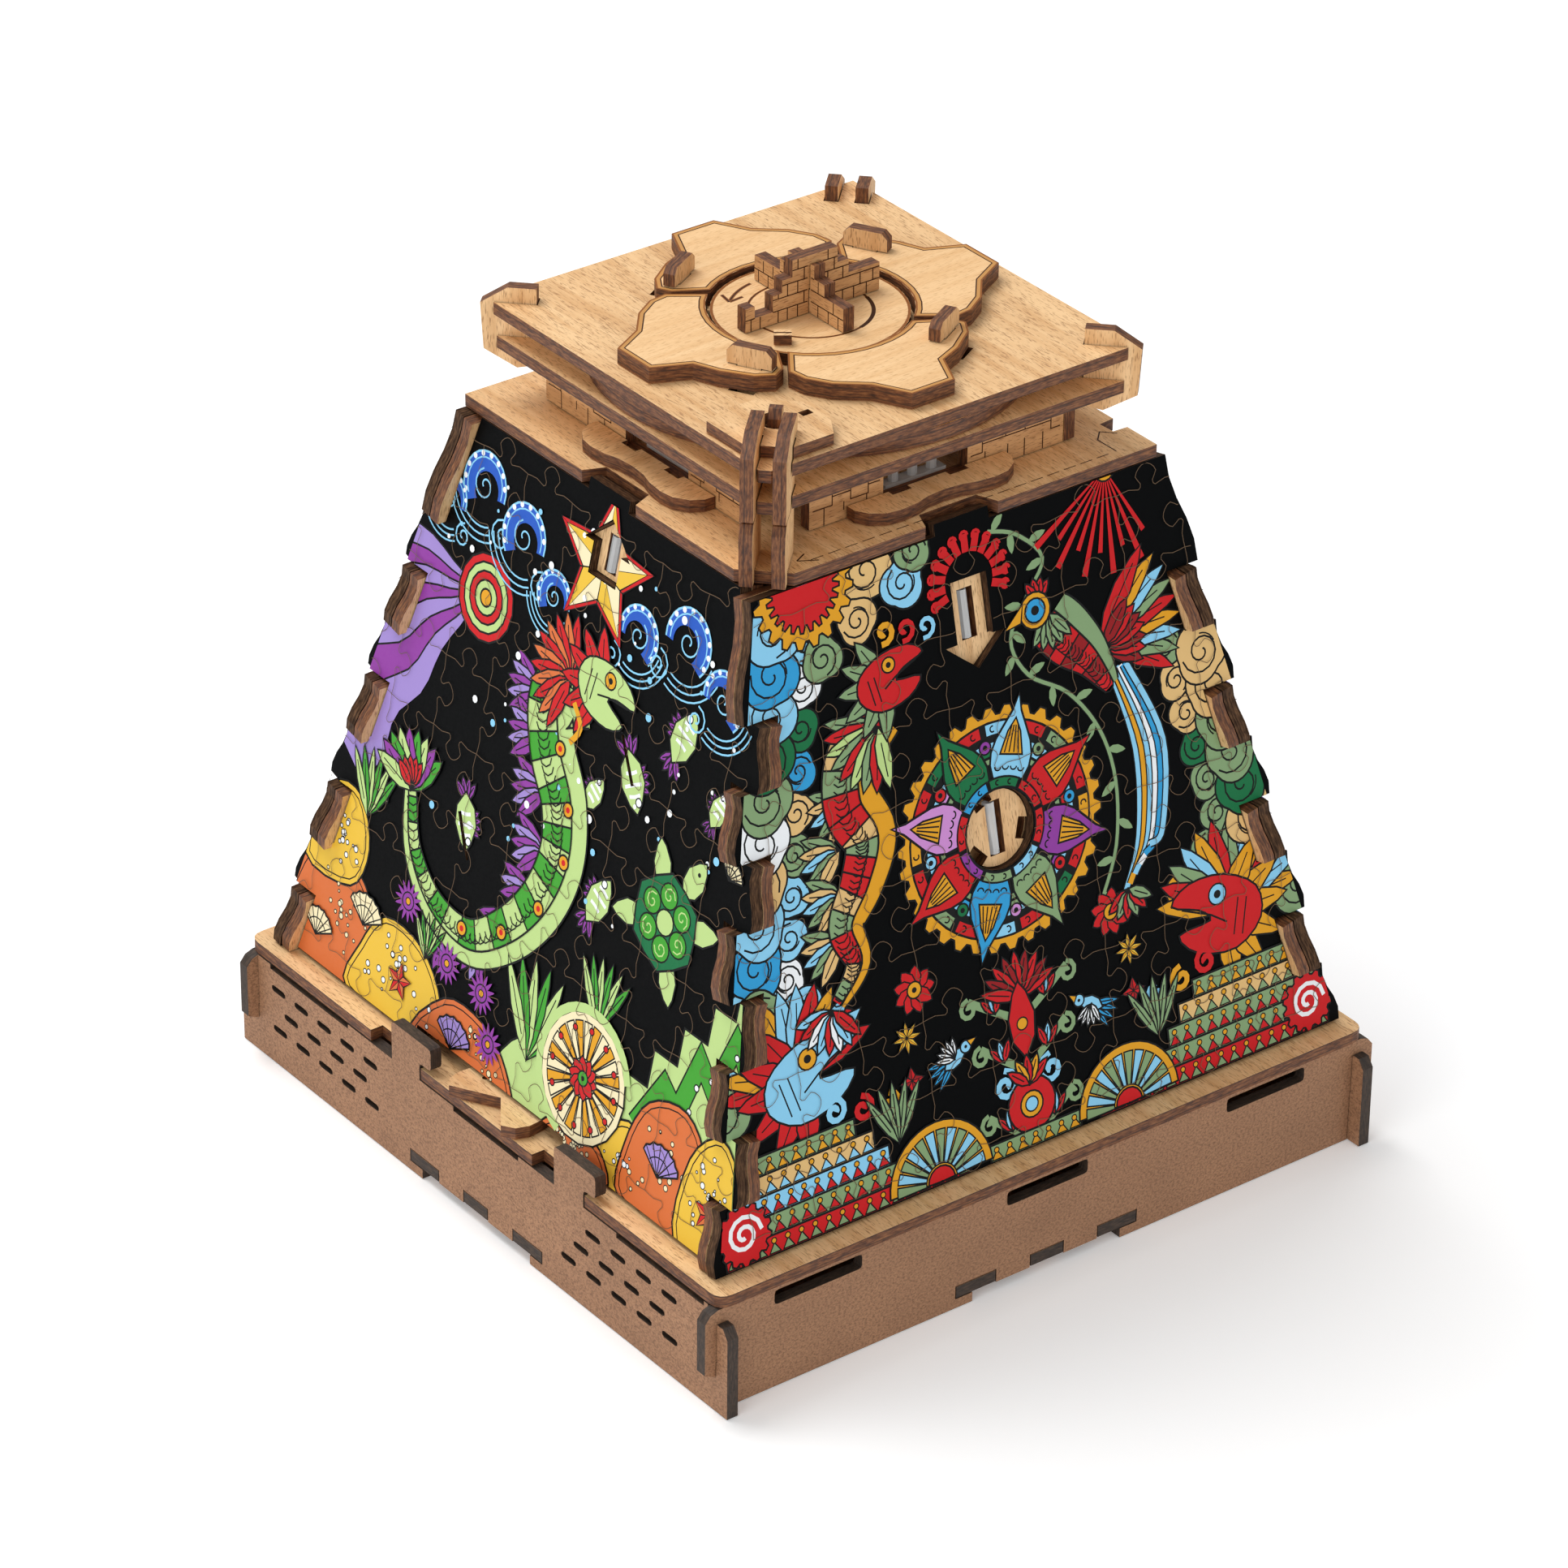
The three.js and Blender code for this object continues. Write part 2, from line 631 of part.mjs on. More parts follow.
// Pin in the lock hole; it slides toward the centre to free the near brackets.
function buildCornerLock() {
  const outline = [
    [57.4, 213.3], [61, 213.3], [61, 222.4], [59.6, 224.5], [57.4, 224.5],
  ];
  addPart('corner_lock', standRadial(outline, -135, 0), 'ply');
}

function buildRotor() {
  const hole = circle(0, 0, AXLE.bore, 16);
  const disc = sheet(circle(0, 0, ROTOR.radius, 56), ROTOR.low, ROTOR.high, [hole]);
  addPart('rotor', disc, 'ply');
}

// ---- Dial, stepped cross and petals ------------------------------------------------------

// Skyline of a stepped plate from [start, end, height] runs, standing on height zero.
function skyline(runs) {
  const points = [[runs[0][0], 0], [runs[runs.length - 1][1], 0]];
  for (const [start, end, height] of [...runs].reverse()) {
    points.push([end, height], [start, height]);
  }
  return points;
}

function buildDial() {
  addPart('dial_disc', sheet(circle(0, 0, DIAL.radius, 48), FIELD_Z, DIAL.top), 'ply');
  addPart('dial_axle', sheet(circle(0, 0, AXLE.radius, 16), AXLE.low, AXLE.high), 'ply');

  const base = DIAL.top + RUN;
  const lap = 6.0;
  const slotHalf = SHEET / 2 + RUN;
  const alongX = skyline([
    [-20.4, -17.7, 6.2], [-17.7, -12.4, 3.2], [-12.4, -9.7, 7.4], [-9.7, -6.7, 10.7],
    [-6.7, 6.7, 15], [6.7, 10, 10.8], [10, 19.3, 7.2],
  ]);
  const alongY = skyline([
    [-14.8, -7.4, 6.1], [-7.4, -3.4, 9.4], [-3.4, 7, 12.8], [7, 10, 9.6], [10, 20, 6.5],
  ]);
  const upright = (points) => (
    sheet(points, -SHEET / 2, SHEET / 2).rotateX(Math.PI / 2).translate(0, 0, base));
  const underLap = box(-slotHalf, slotHalf, -9, 9, base - 1, base + lap + RUN);
  const overLap = box(-9, 9, -slotHalf, slotHalf, base + lap, base + 20);
  addPart('step_cross_a', cut(upright(alongX), [underLap]), 'ply');
  addPart('step_cross_b', cut(upright(alongY).rotateZ(Math.PI / 2), [overLap]), 'ply');

  const nub = cut(box(-2.1, 2.1, -1.5, 1.5, base, base + 2.5), [
    box(-3, 3, -0.3, 0.3, base + 1.2, base + 4),
  ]);
  addPart('dial_nub', nub.rotateZ(-0.634).translate(-16, -10.3, 0), 'ply');
}

function petalOutline() {
  const lobes = [
    [-25, -24.5], [-24.3, -29.5], [-20.5, -35.5], [-13.5, -41.3], [-8.6, -50.2], [4, -50.2],
    [8.3, -40.8], [14.8, -38], [21.7, -33], [24.4, -28.5], [22.5, -25],
  ];
  return [...arc(0, 0, PETAL_ARC, -54.7, -139.6, 8), ...lobes];
}

function buildPetals() {
  const handle = [
    [-HANDLE.neck / 2, HANDLE.low], [HANDLE.neck / 2, HANDLE.low],
    [HANDLE.neck / 2, PETAL_TOP + RUN], [HANDLE.length / 2, PETAL_TOP + RUN],
    [HANDLE.length / 2, HANDLE.high - 1.5], [HANDLE.length / 2 - 1.5, HANDLE.high],
    [-HANDLE.length / 2 + 1.5, HANDLE.high], [-HANDLE.length / 2, HANDLE.high - 1.5],
    [-HANDLE.length / 2, PETAL_TOP + RUN], [-HANDLE.neck / 2, PETAL_TOP + RUN],
  ];
  ['front', 'right', 'back', 'left'].forEach((name, side) => {
    const blank = sheet(petalOutline(), FIELD_Z, PETAL_TOP);
    const petal = cut(blank, [handleSlot(0, 0, FIELD_Z, PETAL_TOP)]);
    addPart(`petal_${name}`, turn(petal, side), 'ply');
    const plate = sheet(handle, -HANDLE.thick / 2, HANDLE.thick / 2);
    plate.rotateX(Math.PI / 2).rotateZ(Math.PI / 2).translate(HANDLE.r, 0, 0);
    plate.rotateZ(THREE.MathUtils.degToRad(HANDLE.angle));
    addPart(`handle_${name}`, turn(plate, side), 'ply');
  });
}

buildPlinth();
addPart('lid_base_plate', basePlate(), 'ply');
addPart('slide_key', slideKey(), 'ply');
buildFaces();
buildWheel();
buildArrows();
buildCollar();
buildLatches();
buildBrickWalls();
buildPinRacks();
buildNearClamps();
buildCapPlates();
buildCornerPlate();
buildBrackets();
buildCornerLock();
buildRotor();
buildDial();
buildPetals();

export default group;
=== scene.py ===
"""Looks of the wooden puzzle box: cut sheets, printed faces, engraving, light and camera."""

import logging
import math
import random
from dataclasses import dataclass, field
from enum import Enum
from typing import ClassVar

import bpy
from mathutils import Matrix, Vector


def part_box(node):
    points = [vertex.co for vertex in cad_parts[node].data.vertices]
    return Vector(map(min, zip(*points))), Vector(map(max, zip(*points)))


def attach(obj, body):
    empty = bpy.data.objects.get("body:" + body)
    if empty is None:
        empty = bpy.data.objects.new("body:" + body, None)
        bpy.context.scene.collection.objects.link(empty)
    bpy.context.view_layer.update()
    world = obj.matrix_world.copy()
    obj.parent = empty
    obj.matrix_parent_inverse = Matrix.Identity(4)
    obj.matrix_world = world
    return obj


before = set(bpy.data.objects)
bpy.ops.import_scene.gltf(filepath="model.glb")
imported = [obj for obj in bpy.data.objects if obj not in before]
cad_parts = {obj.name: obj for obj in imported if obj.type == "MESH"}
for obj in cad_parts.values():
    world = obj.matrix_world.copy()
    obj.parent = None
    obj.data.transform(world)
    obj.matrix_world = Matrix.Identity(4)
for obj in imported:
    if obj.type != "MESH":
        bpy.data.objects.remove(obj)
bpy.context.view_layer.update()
log = logging.getLogger("puzzle_box")

MM = 0.001
LAYER = 0.0007  # millimetres between one printed shape and the next
PRINTED = 0.02  # millimetres from a sheet to its lowest print
ENGRAVED = 0.01  # millimetres from a sheet to its lowest engraving
SMALLEST = 0.004  # twice the area, in square millimetres, below which a scrap is dropped
JIGSAW_ROWS = [7, 25.2, 43.4, 61.6, 80, 98.5, 117, 135.2, 153.5]
HALF_ROOT = math.sqrt(0.5)
SIDES = ("front", "right", "back", "left")
Point = tuple[float, float]
Polygon = list[Point]
Direction = tuple[float, float, float]
Colour = tuple[float, float, float, float]
Socket = bpy.types.NodeSocket
Inputs = dict[str | int, Socket | float | Direction | Colour]


# ---- Shader building blocks ---------------------------------------------------------------


def linear(colour: str) -> Colour:
    """Turns an sRGB hex colour into linear RGBA.

    Args:
        colour: six hex digits.

    Returns:
        The colour as linear red, green, blue and an alpha of one.
    """
    parts = [int(colour[i : i + 2], 16) / 255 for i in (0, 2, 4)]
    values = [c / 12.92 if c <= 0.04045 else ((c + 0.055) / 1.055) ** 2.4 for c in parts]
    return (values[0], values[1], values[2], 1.0)


def feed(node: bpy.types.Node, inputs: Inputs) -> None:
    """Sets or links a node's inputs.

    Args:
        node: the node.
        inputs: socket name or index to a value, or to the output socket that feeds it.
    """
    for key, value in inputs.items():
        if isinstance(value, Socket):
            node.id_data.links.new(value, node.inputs[key])
        else:
            node.inputs[key].default_value = value


def add_node(
    tree: bpy.types.NodeTree, kind: str, inputs: Inputs, out: int | str = 0, **settings: str | bool
) -> Socket:
    """Adds one shader node with its settings, values and links.

    Args:
        tree: node tree that gets the node.
        kind: Blender's node type name, without its prefix.
        inputs: what its sockets get.
        out: name or index of the output that is wanted.
        **settings: properties set on the node itself.

    Returns:
        That output of the new node.
    """
    node = tree.nodes.new(f"ShaderNode{kind}")
    for name, value in settings.items():
        setattr(node, name, value)
    feed(node, inputs)
    return node.outputs[out]


@dataclass(frozen=True)
class SheetAxes:
    """Directions of one cut sheet in the row frame.

    Args:
        normal: unit direction across the sheet's thickness.
        grain: unit direction of the face veneer's fibres.
    """

    normal: Direction
    grain: Direction


class Surface:
    """A material being wired up.

    Args:
        name: material name.
    """

    def __init__(self, name: str) -> None:
        """Makes a material that holds only a Principled shader and its output.

        Args:
            name: material name.
        """
        self.material = bpy.data.materials.new(name)
        self.material.use_nodes = True
        self.tree = self.material.node_tree
        self.shader = self.tree.nodes["Principled BSDF"]
        self.place: dict[str, Socket] = {}

    def lay(self, axes: SheetAxes) -> None:
        """Adds nodes that give place in a sheet, in millimetres, and how much a point faces out.

        Args:
            axes: the sheet's directions.
        """
        point = add_node(self.tree, "TexCoord", {}, "Object")
        scaled = add_node(self.tree, "VectorMath", {0: point, "Scale": 1000.0}, operation="SCALE")
        across = tuple(Vector(axes.grain).cross(Vector(axes.normal)))
        for name, axis in (("across", across), ("along", axes.grain), ("depth", axes.normal)):
            self.place[name] = self.measure(scaled, axis)
        cosine = self.measure(point.node.outputs["Normal"], axes.normal)
        facing = add_node(self.tree, "Math", {0: cosine}, operation="ABSOLUTE")
        ends = {"Value": facing, "From Min": 0.6, "From Max": 0.8}
        self.place["facing"] = add_node(self.tree, "MapRange", ends)

    def measure(self, vector: Socket, axis: Direction) -> Socket:
        """Adds the length of a vector along a direction.

        Args:
            vector: socket of the vector.
            axis: unit direction.

        Returns:
            The length's socket.
        """
        inputs = {0: vector, 1: axis}
        return add_node(self.tree, "VectorMath", inputs, "Value", operation="DOT_PRODUCT")

    def noise(self, sizes: Direction, detail: float = 4.0, roughness: float = 0.55) -> Socket:
        """Adds a noise whose features have the given size across, along and through a sheet.

        Args:
            sizes: feature sizes across the grain, along it and through the sheet, in millimetres.
            detail: octaves of finer noise.
            roughness: strength of the finer octaves.

        Returns:
            The noise factor socket.
        """
        parts = {}
        for index, (name, size) in enumerate(zip(("across", "along", "depth"), sizes)):
            inputs = {0: self.place[name], 1: 1.0 / size}
            parts[index] = add_node(self.tree, "Math", inputs, operation="MULTIPLY")
        inputs = {"Vector": add_node(self.tree, "CombineXYZ", parts), "Scale": 1.0}
        inputs |= {"Detail": detail, "Roughness": roughness}
        return add_node(self.tree, "TexNoise", inputs)

    def ramp(self, factor: Socket, *stops: tuple[float, str]) -> Socket:
        """Adds a ramp between two or three colours.

        Args:
            factor: socket that drives the ramp.
            *stops: positions and sRGB hex colours, in order.

        Returns:
            The ramp's colour socket.
        """
        found = add_node(self.tree, "ValToRGB", {0: factor})
        elements = found.node.color_ramp.elements
        while len(elements) < len(stops):
            elements.new(0.5)
        for element, (position, colour) in zip(elements, stops):
            element.position = position
            element.color = linear(colour)
        return found

    def blend(self, factor: Socket, first: Socket | Colour, second: Socket | Colour) -> Socket:
        """Adds a colour mix.

        Args:
            factor: share of the second colour.
            first: colour or socket at factor zero.
            second: colour or socket at factor one.

        Returns:
            The mixed colour socket.
        """
        return add_node(self.tree, "Mix", {0: factor, 6: first, 7: second}, 2, data_type="RGBA")

    def spread(self, value: Socket, low: float, high: float, *ends: float) -> Socket:
        """Maps a value from one range onto another, clamped.

        Args:
            value: socket to map.
            low: input that gives the first output.
            high: input that gives the second output.
            *ends: the two outputs.

        Returns:
            The mapped socket.
        """
        inputs = {"Value": value, "From Min": low, "From Max": high}
        inputs |= {"To Min": ends[0], "To Max": ends[1]}
        return add_node(self.tree, "MapRange", inputs)

    def finish(self, inputs: Inputs) -> bpy.types.Material:
        """Gives the Principled shader its values.

        Args:
            inputs: what its sockets get.

        Returns:
            The material.
        """
        feed(self.shader, inputs)
        return self.material


# ---- Finishes -----------------------------------------------------------------------------


@dataclass(frozen=True)
class CharredEdge:
    """Edge of a laser-cut sheet.

    Args:
        dark: sRGB hex of the deepest char.
        mid: sRGB hex of the toasted veneers.
        light: sRGB hex of the least burnt wood.
        veneer: thickness of one veneer in millimetres.
    """

    dark: str = "2A150A"
    mid: str = "5E3419"
    light: str = "8A5831"
    veneer: float = 1.07

    def colour(self, surface: Surface) -> Socket:
        """Adds the toasted edge with dark glue lines between its veneers.

        Args:
            surface: material that gets it.

        Returns:
            The edge's colour socket.
        """
        toast = surface.noise((2.4, 2.4, 0.45))
        base = surface.ramp(toast, (0.26, self.dark), (0.46, self.mid), (0.7, self.light))
        inputs = {0: surface.place["depth"], 1: self.veneer}
        swing = add_node(surface.tree, "Math", inputs, operation="PINGPONG")
        glue = surface.spread(swing, 0.0, 0.24 * self.veneer, 0.85, 0.0)
        return surface.blend(glue, base, linear(self.dark))


@dataclass(frozen=True)
class CutSheet:
    """A sheet with a face, described by each kind of board, and a laser-cut edge.

    Args:
        name: material name.
        axes: the sheet's directions.
    """

    name: str
    axes: SheetAxes
    edge: ClassVar[CharredEdge] = CharredEdge()
    sheen: ClassVar[Point] = (0.7, 0.55)
    relief: ClassVar[dict[str, float]] = {"Strength": 0.35, "Distance": 0.00006}
    sunk: ClassVar[bool] = False
    specular: ClassVar[float] = 0.5

    def face(self, surface: Surface) -> tuple[Socket | Colour, Socket, Socket]:
        """Adds the look of the face.

        Args:
            surface: material that gets it.

        Returns:
            The colour, and the noises that vary the roughness and the relief.
        """
        raise NotImplementedError

    def build(self) -> bpy.types.Material:
        """Makes the material.

        Returns:
            The material.
        """
        surface = Surface(self.name)
        surface.lay(self.axes)
        face, shine, height = self.face(surface)
        colour = surface.blend(surface.place["facing"], self.edge.colour(surface), face)
        rough = surface.spread(shine, 0.3, 0.7, *self.sheen)
        inputs = {**self.relief, "Height": height}
        bump = add_node(surface.tree, "Bump", inputs, invert=self.sunk)
        return surface.finish({"Base Color": colour, "Specular IOR Level": self.specular,
                               "Roughness": rough, "Normal": bump})


@dataclass(frozen=True)
class SandedPlywood(CutSheet):
    """Three-veneer plywood, laser cut and left unvarnished.

    The pale face carries soft figure and short dark pores that run with the grain, and the cut
    edge is toasted brown, so every piece reads as a thin outlined sheet.

    Args:
        pale: sRGB hex of the clearest wood.
        warm: sRGB hex of the darker figure.
        pore: sRGB hex of the pores.
    """

    pale: str = "E9C18E"
    warm: str = "D2A36E"
    pore: str = "8E5F34"
    sunk: ClassVar[bool] = True

    def face(self, surface: Surface) -> tuple[Socket | Colour, Socket, Socket]:
        """Adds the figure, the blotches and the pores.

        Args:
            surface: material that gets them.

        Returns:
            The colour, and the noises that vary the roughness and the relief.
        """
        figure = surface.noise((3.2, 46.0, 3.0), 5.0, 0.6)
        wood = surface.ramp(figure, (0.34, self.warm), (0.58, self.pale))
        blotch = surface.noise((28.0, 60.0, 28.0), 2.0)
        wood = surface.blend(surface.spread(blotch, 0.35, 0.7, 0.0, 0.35), wood, linear(self.warm))
        pores = surface.noise((0.26, 2.4, 0.5), 2.0, 0.5)
        wood = surface.blend(surface.spread(pores, 0.55, 0.66, 0.0, 0.7), wood, linear(self.pore))
        return wood, figure, pores


@dataclass(frozen=True)
class RawFibreboard(CutSheet):
    """Medium-density fibreboard, laser cut.

    The face is an even brown felt of fine fibres and the edge is burnt nearly black, which gives
    the plinth its drawn outline.

    Args:
        felt: sRGB hex of the pressed face.
        fleck: sRGB hex of the darker fibres.
    """

    felt: str = "A67A58"
    fleck: str = "6B4A33"
    edge: ClassVar[CharredEdge] = CharredEdge("17110D", "2E2219", "4A382B", 3.4)
    sheen: ClassVar[Point] = (0.78, 0.6)
    relief: ClassVar[dict[str, float]] = {"Strength": 0.3, "Distance": 0.00005}

    def face(self, surface: Surface) -> tuple[Socket | Colour, Socket, Socket]:
        """Adds the fibres and their faint clouding.

        Args:
            surface: material that gets them.

        Returns:
            The colour, and the noises that vary the roughness and the relief.
        """
        fibres = surface.noise((0.55, 0.8, 0.6), 6.0, 0.78)
        felt = surface.ramp(fibres, (0.36, self.fleck), (0.56, self.felt))
        haze = surface.noise((22.0, 30.0, 22.0), 3.0)
        felt = surface.blend(surface.spread(haze, 0.35, 0.7, 0.0, 0.3), felt, linear(self.fleck))
        return felt, fibres, fibres


@dataclass(frozen=True)
class BlackLacquer(CutSheet):
    """Plywood sprayed with satin black lacquer before it was printed.

    A faint orange peel breaks up the reflections, and the cut edge shows toasted grey-brown wood.

    Args:
        black: sRGB hex of the lacquer.
    """

    black: str = "020304"
    edge: ClassVar[CharredEdge] = CharredEdge("261A12", "453225", "6A4E38")
    sheen: ClassVar[Point] = (0.42, 0.54)
    relief: ClassVar[dict[str, float]] = {"Strength": 0.12, "Distance": 0.00003}
    specular: ClassVar[float] = 0.04

    def face(self, surface: Surface) -> tuple[Socket | Colour, Socket, Socket]:
        """Adds the orange peel.

        Args:
            surface: material that gets it.

        Returns:
            The colour, and the noises that vary the roughness and the relief.
        """
        peel = surface.noise((0.9, 0.9, 0.9), 3.0)
        return linear(self.black), peel, peel


@dataclass(frozen=True)
class ScreenInk:
    """Flat opaque screen-printing ink with the slight unevenness of a pulled print.

    Args:
        name: material name.
        colour: sRGB hex of the ink.
    """

    name: str
    colour: str

    def build(self) -> bpy.types.Material:
        """Makes the material.

        Returns:
            The ink material.
        """
        surface = Surface(self.name)
        point = add_node(surface.tree, "TexCoord", {}, "Object")
        inputs = {"Vector": point, "Scale": 900.0, "Detail": 3.0}
        rough = surface.spread(add_node(surface.tree, "TexNoise", inputs), 0.3, 0.7, 0.4, 0.55)
        return surface.finish({"Base Color": linear(self.colour), "Specular IOR Level": 0.15,
                               "Roughness": rough})


@dataclass(frozen=True)
class ClearAcrylic:
    """Polished cast acrylic rod, clear in itself, whose near-white diffuse share is a painted
    highlight that makes it show as a pale bar over whatever lies behind it.

    Args:
        name: material name.
    """

    name: str

    def build(self) -> bpy.types.Material:
        """Makes the material.

        Returns:
            The acrylic material.
        """
        # Painted highlight: the near-white base colour under partial transmission adds a diffuse
        # pale share that stands in for the bright streaks a clear rod catches.
        return Surface(self.name).finish({
            "Base Color": (0.96, 0.97, 0.97, 1.0), "Transmission Weight": 0.62,
            "Roughness": 0.05, "Coat Weight": 1.0, "Coat Roughness": 0.02, "IOR": 1.49,
        })


class Ink(Enum):
    """Printing inks and burn marks, each with its sRGB hex colour; CUT is partly a painted
    highlight, and BURN also paints the shade in the dial's slots.
    """

    BLACK = "060809"
    RED = "C4161C"
    DEEP_RED = "8E1218"
    GOLD = "D99A1E"
    TAN = "D9B477"
    CREAM = "E9DDB4"
    SKY = "86C7E8"
    BLUE = "2C97CF"
    ROYAL = "2456B8"
    SAGE = "7F9C70"
    FOREST = "0E6B3E"
    GREEN = "3E9A2E"
    LIME = "B4CF84"
    ORCHID = "C588C9"
    PURPLE = "8A3A99"
    LILAC = "9A84C6"
    ORANGE = "CF6C38"
    YELLOW = "E0B73C"
    WHITE = "E8ECEF"
    # Grey-brown of the jigsaw kerf: charred cut wood, lightened as a painted highlight for the
    # light caught on the cut's edges.
    CUT = "66513C"
    BURN = "3A1E0E"
    TOAST = "8A5428"
    HALO = "C08C50"


Inks = tuple[Ink, ...]
_inks: dict[Ink, bpy.types.Material] = {}


def ink_material(ink: Ink) -> bpy.types.Material:
    """Finds or makes the material of an ink.

    Args:
        ink: which ink.

    Returns:
        Its material.
    """
    if ink not in _inks:
        _inks[ink] = ScreenInk(f"screen_ink_{ink.name.lower()}", ink.value).build()
    return _inks[ink]


# ---- Plane geometry for print and engraving -----------------------------------------------


def arc(at: Point, r: float, start: float, end: float, steps: int = 12) -> Polygon:
    """Points on a circular arc.

    Args:
        at: centre.
        r: radius.
        start: first angle in degrees.
        end: last angle in degrees.
        steps: segments.

    Returns:
        The points, both ends included.
    """
    angles = [math.radians(start + (end - start) * i / steps) for i in range(steps + 1)]
    return [(at[0] + r * math.cos(a), at[1] + r * math.sin(a)) for a in angles]


def ring(at: Point, r: float, steps: int = 20) -> Polygon:
    """Points round a circle.

    Args:
        at: centre.
        r: radius.
        steps: corners.

    Returns:
        The closed outline.
    """
    return arc(at, r, 0, 360, steps)[:-1]


def polar(at: Point, r: float, angle: float) -> Point:
    """A point at a distance and angle from another.

    Args:
        at: centre.
        r: distance.
        angle: angle in degrees.

    Returns:
        The point.
    """
    turn = math.radians(angle)
    return (at[0] + r * math.cos(turn), at[1] + r * math.sin(turn))


def smooth(points: Polygon, closed: bool = False, steps: int = 4) -> Polygon:
    """Runs a smooth curve through points.

    Args:
        points: points to pass through.
        closed: whether the curve joins up.
        steps: segments between neighbouring points.

    Returns:
        Points on the curve.
    """
    count = len(points)
    spans = count if closed else count - 1
    found: Polygon = []
    for i in range(spans):
        picks = [i - 1, i, i + 1, i + 2]
        if closed:
            p0, p1, p2, p3 = (points[k % count] for k in picks)
        else:
            p0, p1, p2, p3 = (points[min(max(k, 0), count - 1)] for k in picks)
        for k in range(steps):
            t = k / steps
            found.append(
                tuple(
                    0.5
                    * (
                        2 * b
                        + (c - a) * t
                        + (2 * a - 5 * b + 4 * c - d) * t * t
                        + (3 * b - a - 3 * c + d) * t * t * t
                    )
                    for a, b, c, d in zip(p0, p1, p2, p3)
                )
            )
    if not closed:
        found.append(points[-1])
    return found


def clip(points: Polygon, a: float, b: float, c: float) -> Polygon:
    """Keeps the part of a polygon where a*u + b*v is at most c.

    Args:
        points: the polygon.
        a: first coefficient.
        b: second coefficient.
        c: limit.

    Returns:
        The kept polygon, empty if nothing is left.
    """
    kept: Polygon = []
    for p, q in zip(points, points[1:] + points[:1]):
        side_p = a * p[0] + b * p[1] - c
        side_q = a * q[0] + b * q[1] - c
        if side_p <= 0:
            kept.append(p)
        if side_p * side_q < 0:
            t = side_p / (side_p - side_q)
            kept.append((p[0] + (q[0] - p[0]) * t, p[1] + (q[1] - p[1]) * t))
    return kept if len(kept) > 2 else []


def half_planes(outline: Polygon) -> list[tuple[float, float, float]]:
    """Half planes whose overlap is a convex outline listed anticlockwise.

    Args:
        outline: the convex outline.

    Returns:
        Coefficients for clip, one set for each edge.
    """
    planes = []
    for p, q in zip(outline, outline[1:] + outline[:1]):
        a, b = q[1] - p[1], p[0] - q[0]
        planes.append((a, b, a * p[0] + b * p[1]))
    return planes


def near(points: Polygon, hole: Polygon) -> bool:
    """Tells whether the boxes round two outlines overlap.

    Args:
        points: one outline.
        hole: the other.

    Returns:
        True if they do.
    """
    return all(
        min(p[k] for p in points) < max(h[k] for h in hole)
        and max(p[k] for p in points) > min(h[k] for h in hole)
        for k in (0, 1)
    )


def twice_area(points: Polygon) -> float:
    """Twice the signed area of a polygon, positive if it is listed anticlockwise.

    Args:
        points: the polygon.

    Returns:
        The area.
    """
    return sum(p[0] * q[1] - q[0] * p[1] for p, q in zip(points, points[1:] + points[:1]))


def punch(points: Polygon, hole: Polygon) -> list[Polygon]:
    """Takes a convex hole out of a polygon.

    Args:
        points: the polygon.
        hole: convex outline, anticlockwise.

    Returns:
        What is left, as polygons.
    """
    if not near(points, hole):
        return [points]
    pieces, rest = [], points
    for a, b, c in half_planes(hole):
        outside = clip(rest, -a, -b, -c)
        if outside:
            pieces.append(outside)
        rest = clip(rest, a, b, c)
        if not rest:
            break
    return pieces


def inset(points: Polygon, distance: float) -> Polygon:
    """Moves an anticlockwise outline inward.

    Args:
        points: the outline.
        distance: how far in.

    Returns:
        The smaller outline.
    """
    moved = []
    for before, here, after in zip(points[-1:] + points[:-1], points, points[1:] + points[:1]):
        one = Vector((here[0] - before[0], here[1] - before[1])).normalized()
        two = Vector((after[0] - here[0], after[1] - here[1])).normalized()
        normal = Vector((-one.y - two.y, one.x + two.x))
        if normal.length < 1e-6:
            normal = Vector((-one.y, one.x))
        normal.normalize()
        share = max(0.5, normal.dot(Vector((-one.y, one.x))))
        moved.append((here[0] + normal.x * distance / share, here[1] + normal.y * distance / share))
    return moved


